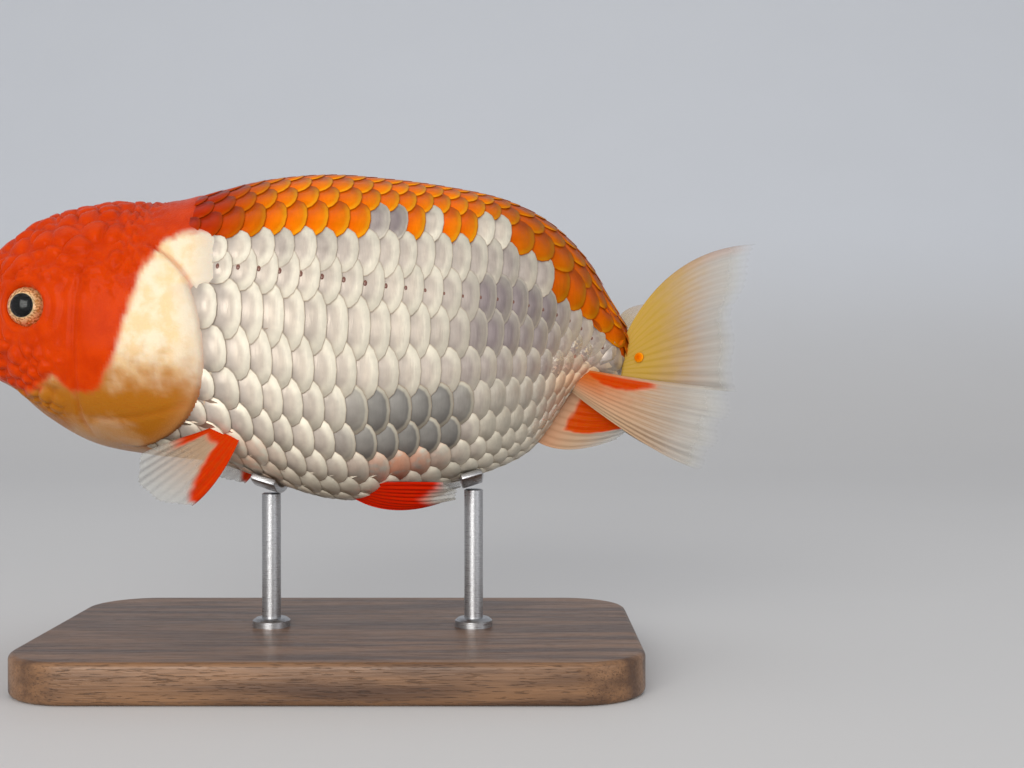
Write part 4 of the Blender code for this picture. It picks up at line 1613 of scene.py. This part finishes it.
@dataclass
class Fin:
    """A fin: a thin membrane between three guiding rays, ribbed by branching rays."""

    name: str
    form: BodyForm
    first: Ray
    middle: Ray
    last: Ray
    finish: Finish
    stain: Stain
    mirror: int = 1
    rays: int = 10
    fold: float = 0.3
    folds: float = 2.0
    root_thickness: float = 0.8
    margin_thickness: float = 0.16
    ray_height: float = 0.042
    veil_root: float = 0.75
    veil_outer: float = 0.52
    veil_margin: float = 0.15
    veil_start: float = 0.05
    deep: float = 0.0
    columns_per_ray: int = 14
    rows: int = 44
    corner: float = 0.04
    step: float = 0.004

    def sheet(self, across: np.ndarray, along: np.ndarray) -> np.ndarray:
        """The middle sheet of the membrane.

        Args:
            across: Shares from the first ray to the last.
            along: Shares from the root to the margin.

        Returns:
            Points in the fish's measures.
        """
        a = ((1 - across) * (1 - 2 * across))[..., None]
        b = (4 * across * (1 - across))[..., None]
        c = (across * (2 * across - 1))[..., None]
        root, bend, tip = (
            np.array(getattr(self.first, part)) * a
            + np.array(getattr(self.middle, part)) * b
            + np.array(getattr(self.last, part)) * c
            for part in ("root", "bend", "tip")
        )
        scallop = 0.014 * np.abs(np.sin(math.pi * self.rays * 2 * across)) + 0.012 * np.sin(17.0 * across)
        reach = (along * (1 - self.corner * np.abs(2 * across - 1) ** 6 - scallop * along**4))[..., None]
        return root * (1 - reach) ** 2 + bend * (2 * reach * (1 - reach)) + tip * reach**2

    def ribs(self, across: np.ndarray, along: np.ndarray) -> np.ndarray:
        """How near each point is to a ray, with rays that branch twice.

        Args:
            across: Shares from the first ray to the last.
            along: Shares from the root to the margin.

        Returns:
            1 on a ray and 0 between two.
        """
        cell = np.abs((across * self.rays) % 1.0 - 0.5)
        forked = np.abs(cell - 0.24 * smooth_step(along, 0.10, 0.80))
        forked = np.abs(forked - 0.11 * smooth_step(along, 0.45, 1.0))
        width = 0.15 - 0.07 * along
        return np.exp(-((forked / width) ** 2))

    def colors(
        self, across: np.ndarray, along: np.ndarray, ray: np.ndarray, cloud: np.ndarray
    ) -> dict[str, np.ndarray]:
        """What the finish reads.

        Args:
            across: Shares from the first ray to the last.
            along: Shares from the root to the margin.
            ray: How near a ray each point is.
            cloud: Noise between -1 and 1.

        Returns:
            Numbers for each vertex by name.
        """
        stain = np.zeros_like(along)
        ochre = np.zeros_like(along)
        flesh = smooth_step(along, 1.0, 0.35) + 0.25 * ray * smooth_step(along, 1.0, 0.5)
        base = np.zeros_like(along)
        veil = self.veil_root + (self.veil_outer - self.veil_root) * smooth_step(along, self.veil_start, 0.8)
        veil += (self.veil_margin - self.veil_outer) * smooth_step(along, 0.84, 1.0)
        soft = 0.06 * cloud
        if self.stain is Stain.EDGES:
            inner = 0.50 - 0.47 * along
            stain = smooth_step(across + 0.3 * soft, inner + 0.05, inner - 0.04)
            stain *= smooth_step(along + soft, 1.02, 0.9)
            leading = smooth_step(across - 0.3 * soft, 0.76, 0.86) * smooth_step(along + soft, 0.70, 0.50)
            root = smooth_step(along + 0.6 * soft, 0.30, 0.20)
            stain = np.maximum(stain, np.maximum(leading, root))
        elif self.stain is Stain.ROOT:
            reach = 0.70 + 0.28 * np.abs(2 * across - 1) ** 1.5 + 0.5 * soft
            stain = smooth_step(along, reach + 0.12, reach - 0.12)
        elif self.stain is Stain.BLOCK:
            stain = smooth_step(across + 0.4 * soft, 0.32, 0.38) * smooth_step(along + 0.6 * soft, 0.22, 0.30)
            stain *= smooth_step(along + 0.5 * soft - 0.06 * ray, 1.0, 0.90)
            base = 0.35 * smooth_step(along, 0.5, 0.1)
        elif self.stain is Stain.STREAK:
            edge = 0.08 + 0.17 * smooth_step(along, 0.05, 0.25) - 0.14 * smooth_step(along, 0.3, 0.62)
            stain = smooth_step(across + 0.4 * soft, edge + 0.05, edge - 0.03)
            stain *= smooth_step(along + soft, 0.04, 0.12) * smooth_step(along + 0.5 * soft, 0.64, 0.50)
            stain *= smooth_step(across, 0.025, 0.065)
            base = smooth_step(along + soft, 0.6, 0.1) * smooth_step(across, 1.0, 0.15)
        elif self.stain is Stain.OCHRE:
            ochre = smooth_step(along + soft + 0.15 * across, 0.84, 0.32) * (0.85 + 0.15 * ray)
            base = 0.3 * smooth_step(across, 0.10, 0.0) * smooth_step(along, 0.0, 0.2)
        return {
            "stain": stain,
            "ochre": ochre,
            "flesh": np.clip(flesh, 0, 1),
            "veil": veil,
            "ray": ray,
            "base": base,
            "deep": np.full_like(along, self.deep),
        }

    def surface(self, x: float, z: float) -> tuple[np.ndarray, np.ndarray]:
        """The outer face of the fin at a place in side view.

        Args:
            x: Place along the body in millimetres.
            z: Height in millimetres.

        Returns:
            The point of the middle sheet there and the direction outwards.
        """
        across, along = (grid.ravel() for grid in np.meshgrid(np.linspace(0, 1, 81), np.linspace(0, 1, 81)))
        points = self.sheet(across, along)
        best = int(np.argmin(np.hypot(points[:, 0] - x, points[:, 2] - z)))
        step = 0.02
        here = (across[best : best + 1], along[best : best + 1])
        over = self.sheet(np.minimum(here[0] + step, 1), here[1]) - self.sheet(here[0] - step, here[1])
        out = self.sheet(here[0], here[1] + step) - self.sheet(here[0], here[1])
        normal = np.cross(over, out)[0]
        normal /= np.linalg.norm(normal)
        return points[best], normal * (1.0 if normal[1] * points[best][1] > 0 else -1.0)

    def build(self) -> bpy.types.Object:
        """Model and dress the fin.

        Returns:
            Its object.
        """
        grid = grid_mesh(self.rays * self.columns_per_ray, self.rows, walls=True)
        mesh = to_mesh(grid, f"{self.name}_web")
        flat = corners_of(mesh)
        across, along = np.clip(flat[:, 0], 0, 1), np.clip(flat[:, 1], 0, 1)
        side = np.where(flat[:, 2] > 0.5, 1.0, -1.0)
        points = self.sheet(across, along)
        left, right = (np.clip(across + step, 0, 1) for step in (-self.step, self.step))
        inner, outer = (np.clip(along + step, 0, 1) for step in (-self.step, self.step))
        over = self.sheet(right, along) - self.sheet(left, along)
        normals = np.cross(over, self.sheet(across, outer) - self.sheet(across, inner))
        normals /= np.linalg.norm(normals, axis=-1, keepdims=True)
        ray = self.ribs(across, along)
        spine = smooth_step(across, 0.035, 0.0) + smooth_step(across, 0.975, 1.0)
        thinner = self.margin_thickness - self.root_thickness
        web = self.root_thickness + thinner * smooth_step(along, 0.0, 0.6)
        rib = self.ray_height * ray * (1 - 0.75 * along) * smooth_step(along, 0.0, 0.35)
        half = 0.5 * web * (1 - 0.55 * along) + rib + 0.12 * spine * (1 - 0.8 * along)
        fold = self.fold * along**2 * np.sin(2 * math.pi * self.folds * across)
        fold += 0.16 * along * np.sin(2 * math.pi * self.rays * across)
        points = points + normals * (fold + side * half)[:, None]
        points[:, 1] *= self.mirror
        cloud = np.array([noise.noise(Vector(p) * 0.8) for p in points])
        for name, values in self.colors(across, along, np.clip(ray + 0.6 * spine, 0, 1), cloud).items():
            store(mesh, name, values)
        move_corners(mesh, self.form.place(points))
        seal(mesh, WELD)
        return add_piece(mesh, self.finish, (self.name,))


@dataclass
class FinSet:
    """All the fins, on the same guiding rays as the frame's."""

    form: BodyForm
    finish: Finish
    scale_finish: Finish

    # radius and thickness of the single scale on the tail, and its x and z
    BASE_SCALE = (0.95, 0.38)
    BASE_SCALE_AT = (119.8, 25.8)
    PECTORAL = (
        Ray((50.9, -16.2, 13.4), (47.5, -19.4, 3.8), (43.4, -23.6, 0.9)),
        Ray((48.9, -16.2, 13.6), (43.3, -20.7, 9.4), (36.6, -25.4, 3.8)),
        Ray((46.9, -15.9, 13.9), (42.2, -20.8, 13.0), (35.6, -26.0, 9.8)),
    )
    PELVIC = (
        Ray((68.4, -4.2, 1.2), (75.2, -7.0, -3.0), (84.8, -9.6, 0.6)),
        Ray((69.8, -6.6, 2.4), (78.2, -12.0, 0.2), (87.2, -14.4, 2.2)),
        Ray((71.4, -9.2, 3.8), (79.0, -15.6, 4.6), (85.4, -18.4, 4.6)),
    )
    ANAL = (
        Ray((101.2, -1.7, 10.8), (106.6, -2.4, 7.5), (116.2, -4.2, 11.6)),
        Ray((103.2, -1.9, 15.4), (110.0, -2.8, 12.4), (118.2, -5.0, 14.6)),
        Ray((106.6, -2.0, 20.0), (111.6, -2.6, 18.6), (117.6, -4.4, 18.2)),
    )
    TAIL_UPPER = (
        Ray((116.4, -1.2, 27.6), (124.0, -3.0, 46.2), (140.7, -9.0, 45.7)),
        Ray((116.8, -1.7, 25.4), (126.4, -6.4, 31.8), (134.8, -14.6, 33.0)),
        Ray((116.4, -2.4, 22.2), (126.4, -8.4, 20.4), (135.6, -16.0, 19.9)),
    )
    TAIL_UPPER_FAR = (
        Ray((116.4, 1.2, 27.6), (112.8, 10.0, 38.8), (133.2, 19.0, 35.8)),
        Ray((116.8, 1.7, 25.4), (124.0, 10.0, 30.4), (135.0, 21.0, 29.0)),
        Ray((116.8, 2.2, 23.6), (126.4, 10.4, 22.4), (134.4, 19.6, 21.0)),
    )
    TAIL_LOWER = (
        Ray((109.0, -4.6, 23.6), (119.0, -9.2, 21.8), (134.6, -17.4, 20.4)),
        Ray((107.4, -4.2, 21.8), (118.4, -13.0, 15.6), (131.2, -22.2, 13.4)),
        Ray((107.0, -3.2, 20.9), (120.8, -13.6, 8.6), (127.8, -25.0, 7.2)),
    )
    # name, guiding rays, stain and sizes of each fin that both flanks have
    PAIRED = (
        (
            "pectoral_fin",
            PECTORAL,
            Stain.EDGES,
            {"rays": 9, "folds": 1.5, "veil_root": 0.66, "veil_outer": 0.4, "veil_margin": 0.3, "deep": 0.4},
        ),
        (
            "pelvic_fin",
            PELVIC,
            Stain.ROOT,
            {"rays": 8, "fold": 0.25, "veil_root": 0.8, "veil_margin": 0.3, "deep": 0.85},
        ),
        (
            "anal_fin",
            ANAL,
            Stain.BLOCK,
            {"rays": 8, "fold": 0.2, "veil_root": 0.9, "veil_margin": 0.4},
        ),
        (
            "tail_lower_lobe",
            TAIL_LOWER,
            Stain.STREAK,
            {
                "rays": 11,
                "fold": 0.5,
                "folds": 3.0,
                "root_thickness": 1.1,
                "veil_root": 0.95,
                "veil_margin": 0.05,
                "veil_start": 0.25,
                "deep": 0.1,
            },
        ),
    )
    # the same for the tail's two upper lobes, the near one first
    UPPER_LOBES = (
        ("tail_upper_lobe_left", TAIL_UPPER, {"veil_root": 0.86, "veil_margin": 0.05}),
        ("tail_upper_lobe_right", TAIL_UPPER_FAR, {"veil_root": 0.4, "veil_outer": 0.2, "veil_margin": 0.02}),
    )

    def build(self) -> None:
        """Model and dress every fin."""
        for side in Side:
            for name, guides, stain, sizes in self.PAIRED:
                word = f"{name}_{side.name.lower()}"
                Fin(word, self.form, *guides, self.finish, stain, side.value, **sizes).build()
        lobes = [
            Fin(name, self.form, *guides, self.finish, Stain.OCHRE, rays=12, fold=0.5, folds=2.5, **sizes)
            for name, guides, sizes in self.UPPER_LOBES
        ]
        for lobe in lobes:
            lobe.build()
        self.base_scale(lobes[0])

    def base_scale(self, fin: Fin) -> None:
        """The single round scale on the root of the left upper lobe.

        Args:
            fin: The lobe.
        """
        point, normal = fin.surface(*self.BASE_SCALE_AT)
        radius, thickness = self.BASE_SCALE
        mesh = ball("tail_base_scale", 32, 12)
        unit = corners_of(mesh)
        rim = np.hypot(unit[:, 0], unit[:, 1])
        plain = {"red": 1.0, "glow": 0.8, "tone": 0.5, "rim": rim, "lie": rim, "rise": 0.0}
        for name, values in plain.items():
            store(mesh, name, np.broadcast_to(values, rim.shape))
        move_corners(mesh, unit * (np.array([radius, radius, thickness]) * MM))
        mesh.transform(facing(Vector(self.form.place(point + normal * 0.45)), Vector(normal), "X"))
        seal(mesh, WELD)
        add_piece(mesh, self.scale_finish)


# ---------------------------------------------------------------------------------- eyes


@dataclass
class Eye:
    """An eyeball with iris and pupil under a clear cornea, where the frame has its eye."""

    node: str
    finish: Finish
    cornea_finish: Finish
    look: tuple[float, float] = (-0.14, 0.05)
    segments: int = 48
    rings: int = 32
    # of the frame's radius: the eyeball's, the cornea's, and how far out the cornea starts
    ball_share: float = 0.97
    cornea_share: float = 1.02
    cornea_depth: float = 0.35

    def build(self) -> None:
        """Model and dress the eyeball and its cornea."""
        low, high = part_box(self.node)
        middle = (low + high) / 2
        radius = (high.z - low.z) / 2
        outward = Vector((self.look[0], math.copysign(1.0, middle.y), self.look[1])).normalized()
        turned = facing(middle, outward, "Y")
        mesh = ball(self.node.replace("eye", "eyeball"), self.segments, self.rings)
        unit = corners_of(mesh)
        ring = np.arccos(np.clip(unit[:, 2], -1, 1)) / (math.pi / 2)
        store(mesh, "ring", ring)
        bulge = 1 - 0.035 * bell(ring, 0.5, 0.14) + 0.02 * smooth_step(ring, 0.4, 0.2)
        move_corners(mesh, unit * (bulge * radius * self.ball_share)[:, None])
        mesh.transform(turned)
        mesh.shade_smooth()
        add_piece(mesh, self.finish, (self.node,))
        shape = bmesh.new()
        outer = radius * self.cornea_share
        bmesh.ops.create_uvsphere(shape, u_segments=self.segments, v_segments=self.rings, radius=outer)
        behind = [vert for vert in shape.verts if vert.co.z < self.cornea_depth * radius]
        bmesh.ops.delete(shape, geom=behind, context="VERTS")
        shade_smooth(shape)
        bmesh.ops.solidify(shape, geom=shape.faces[:], thickness=0.02 * radius)
        bmesh.ops.recalc_face_normals(shape, faces=shape.faces)
        bmesh.ops.transform(shape, matrix=turned, verts=shape.verts)
        add_piece(to_mesh(shape, self.node.replace("eye", "cornea")), self.cornea_finish)


# --------------------------------------------------------------------------------- stand


@dataclass
class Stand:
    """The walnut base, and the steel rods and saddles that carry the belly."""

    wood: Finish
    steel: Finish
    rod_segments: int = 40
    foot_radius: float = 3.4
    foot_height: float = 1.6
    corner_radius: float = 12.0
    rim_radius: float = 1.0
    saddle_radius: float = 0.22

    def build(self) -> None:
        """Model and dress the stand."""
        self.base()
        for where in ("front", "rear"):
            self.rod(where)
            self.saddle(where)

    def base(self) -> None:
        """The base plate, with rounded corners and rims."""
        low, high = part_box("stand_base")
        size, middle = high - low, (high + low) / 2
        shape = bmesh.new()
        bmesh.ops.create_cube(shape, size=1.0)
        bmesh.ops.scale(shape, verts=shape.verts, vec=size)
        round_off(shape, [edge for edge in shape.edges if drop(edge) > MM], self.corner_radius, 16)
        level = [edge for edge in shape.edges if drop(edge) < MM / 10]
        rims = [edge for edge in level if len({abs(face.normal.z) > 0.5 for face in edge.link_faces}) == 2]
        round_off(shape, rims, self.rim_radius, 4)
        bmesh.ops.translate(shape, verts=shape.verts, vec=middle)
        for face in shape.faces:
            face.smooth = abs(face.normal.z) < 0.999
        add_piece(to_mesh(shape, "stand_walnut_base"), self.wood, ("stand_base",))

    def rod(self, where: str) -> None:
        """One rod in its foot ring.

        Args:
            where: Which of the two.
        """
        node = f"stand_rod_{where}"
        low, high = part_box(node)
        middle = (low + high) / 2
        radius = (high.x - low.x) / 2
        base_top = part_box("stand_base")[1].z
        foot, foot_top = self.foot_radius * MM, base_top + self.foot_height * MM
        outline = (
            (0.0, base_top),
            (foot, base_top),
            (foot, base_top + 0.7 * self.foot_height * MM),
            (0.82 * foot, foot_top),
            (radius, foot_top),
            (radius, high.z - 0.2 * MM),
            (radius * 0.8, high.z),
            (0.0, high.z),
        )
        shape = bmesh.new()
        corners = [shape.verts.new((x, 0.0, z)) for x, z in outline]
        edges = [shape.edges.new(pair) for pair in zip(corners, corners[1:])]
        bmesh.ops.spin(
            shape,
            geom=corners + edges,
            cent=(0, 0, 0),
            axis=(0, 0, 1),
            angle=2 * math.pi,
            steps=self.rod_segments,
            use_merge=True,
        )
        bmesh.ops.remove_doubles(shape, verts=shape.verts, dist=WELD)
        bmesh.ops.recalc_face_normals(shape, faces=shape.faces)
        shade_smooth(shape)
        for edge in shape.edges:
            edge.smooth = edge.calc_face_angle(0.0) < math.radians(40)
        bmesh.ops.translate(shape, verts=shape.verts, vec=(middle.x, middle.y, 0.0))
        add_piece(to_mesh(shape, f"{node}_turned"), self.steel, (node,))

    def saddle(self, where: str) -> None:
        """One saddle: the frame's own strip, smoothed and eased.

        Args:
            where: Which of the two.
        """
        node = f"stand_saddle_{where}"
        shape = bmesh.new()
        shape.from_mesh(bpy.data.objects[node].data)
        bmesh.ops.remove_doubles(shape, verts=shape.verts, dist=1e-6)
        bmesh.ops.dissolve_limit(shape, angle_limit=math.radians(1), verts=shape.verts, edges=shape.edges)
        sharp = [edge for edge in shape.edges if edge.calc_face_angle(0.0) > math.radians(50)]
        round_off(shape, sharp, self.saddle_radius, 3)
        shade_smooth(shape)
        add_piece(to_mesh(shape, f"{node}_strip"), self.steel, (node,))


# --------------------------------------------------------------------------------- stage


@dataclass
class Stage:
    """Floor, lights and camera."""

    form: BodyForm
    finish: Finish
    # millimetres across the view at the fish
    view_width: float = 186.2
    lens: float = 50.0
    sensor: float = 36.0
    elevation: float = math.radians(0.6)
    aim_x: float = 96.7
    aim_z: float = 21.1
    sky: Color = (0.92, 0.93, 0.95)
    sky_strength: float = 0.60
    # metres: the flat's front edge, where the bend starts, its radius, the top and half the width
    front: float = -2.0
    depth: float = 0.45
    bend: float = 1.1
    height: float = 4.0
    width: float = 5.0

    # name, place, side in metres, watts and colour of each soft box
    LIGHTS = (
        ("key", (-0.25, -1.0, 0.30), 0.7, 9.5, (1.0, 0.985, 0.95)),
        ("overhead", (0.1, -0.1, 1.1), 1.0, 1.8, (0.97, 0.985, 1.0)),
        ("fill", (0.8, -0.7, 0.15), 0.7, 2.4, (0.95, 0.97, 1.0)),
    )

    def floor(self) -> None:
        """A pale floor that curves up into the backdrop."""
        shape = bmesh.new()
        front = shape.verts.new((-self.width, self.front, 0.0))
        start = shape.verts.new((-self.width, self.depth, 0.0))
        shape.edges.new((front, start))
        turned = bmesh.ops.spin(
            shape,
            geom=[start],
            cent=(0.0, self.depth, self.bend),
            axis=(1, 0, 0),
            angle=math.pi / 2,
            steps=32,
            use_duplicate=False,
        )
        last = next(item for item in turned["geom_last"] if isinstance(item, bmesh.types.BMVert))
        top = shape.verts.new((last.co.x, last.co.y, self.height))
        shape.edges.new((last, top))
        made = bmesh.ops.extrude_edge_only(shape, edges=shape.edges[:])["geom"]
        draw_out(shape, made, (2 * self.width, 0.0, 0.0))
        bmesh.ops.recalc_face_normals(shape, faces=shape.faces)
        if sum(face.normal.z for face in shape.faces) < 0:
            bmesh.ops.reverse_faces(shape, faces=shape.faces)
        shade_smooth(shape)
        mesh = to_mesh(shape, "floor")
        floor = bpy.data.objects.new("floor", mesh)
        mesh.materials.append(self.finish.material())
        bpy.context.scene.collection.objects.link(floor)

    def light(self, name: str, place: Point, aim: Vector, size: float, power: float, color: Color) -> None:
        """One soft box.

        Args:
            name: Its name.
            place: Where it hangs.
            aim: What it points at.
            size: Its side in metres.
            power: Its strength in watts.
            color: Its colour.
        """
        data = bpy.data.lights.new(name, "AREA")
        data.shape = "SQUARE"
        data.size = size
        data.energy = power
        data.color = color
        lamp = bpy.data.objects.new(name, data)
        lamp.location = place
        lamp.rotation_mode = "QUATERNION"
        lamp.rotation_quaternion = (aim - Vector(place)).to_track_quat("-Z", "Y")
        bpy.context.scene.collection.objects.link(lamp)

    def build(self) -> None:
        """Set the stage."""
        self.floor()
        aim = Vector(self.form.place(np.array([self.aim_x, 0.0, self.aim_z])))
        for name, place, size, power, color in self.LIGHTS:
            self.light(name, place, aim, size, power, color)
        world = bpy.data.worlds.new("studio")
        world.use_nodes = True
        sky = world.node_tree.nodes["Background"].inputs
        sky["Color"].default_value = (*self.sky, 1.0)
        sky["Strength"].default_value = self.sky_strength
        scene = bpy.context.scene
        scene.world = world
        scene.view_settings.view_transform = "Standard"
        distance = self.view_width * MM * self.lens / self.sensor
        data = bpy.data.cameras.new("camera")
        data.lens = self.lens
        data.sensor_width = self.sensor
        data.clip_start = 0.01
        data.clip_end = 10.0
        camera = bpy.data.objects.new("camera", data)
        back = Vector((0.0, -math.cos(self.elevation), math.sin(self.elevation)))
        camera.location = aim + back * distance
        camera.rotation_mode = "QUATERNION"
        camera.rotation_quaternion = (-back).to_track_quat("-Z", "Y")
        scene.collection.objects.link(camera)
        scene.camera = camera


def main() -> None:
    """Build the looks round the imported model."""
    logging.basicConfig(level=logging.INFO, format="%(name)s: %(message)s")
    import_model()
    form = BodyForm.from_frame()
    cover = GillCover()
    markings = Markings()
    Skin(form, cover, markings, SkinFinish()).build()
    scale_finish, pore_finish = ScaleFinish(), PoreFinish()
    for side in Side:
        coat = ScaleCoat(form, cover, markings, scale_finish, side)
        coat.build()
        LateralLine(coat, pore_finish).build()
    FinSet(form, FinFinish(), scale_finish).build()
    eye_finish, cornea_finish = EyeFinish(), CorneaFinish()
    for node in ("eye_left", "eye_right"):
        Eye(node, eye_finish, cornea_finish).build()
    Stand(WalnutFinish(), SteelFinish()).build()
    Stage(form, StageFinish()).build()


if __name__ == "__main__":
    main()
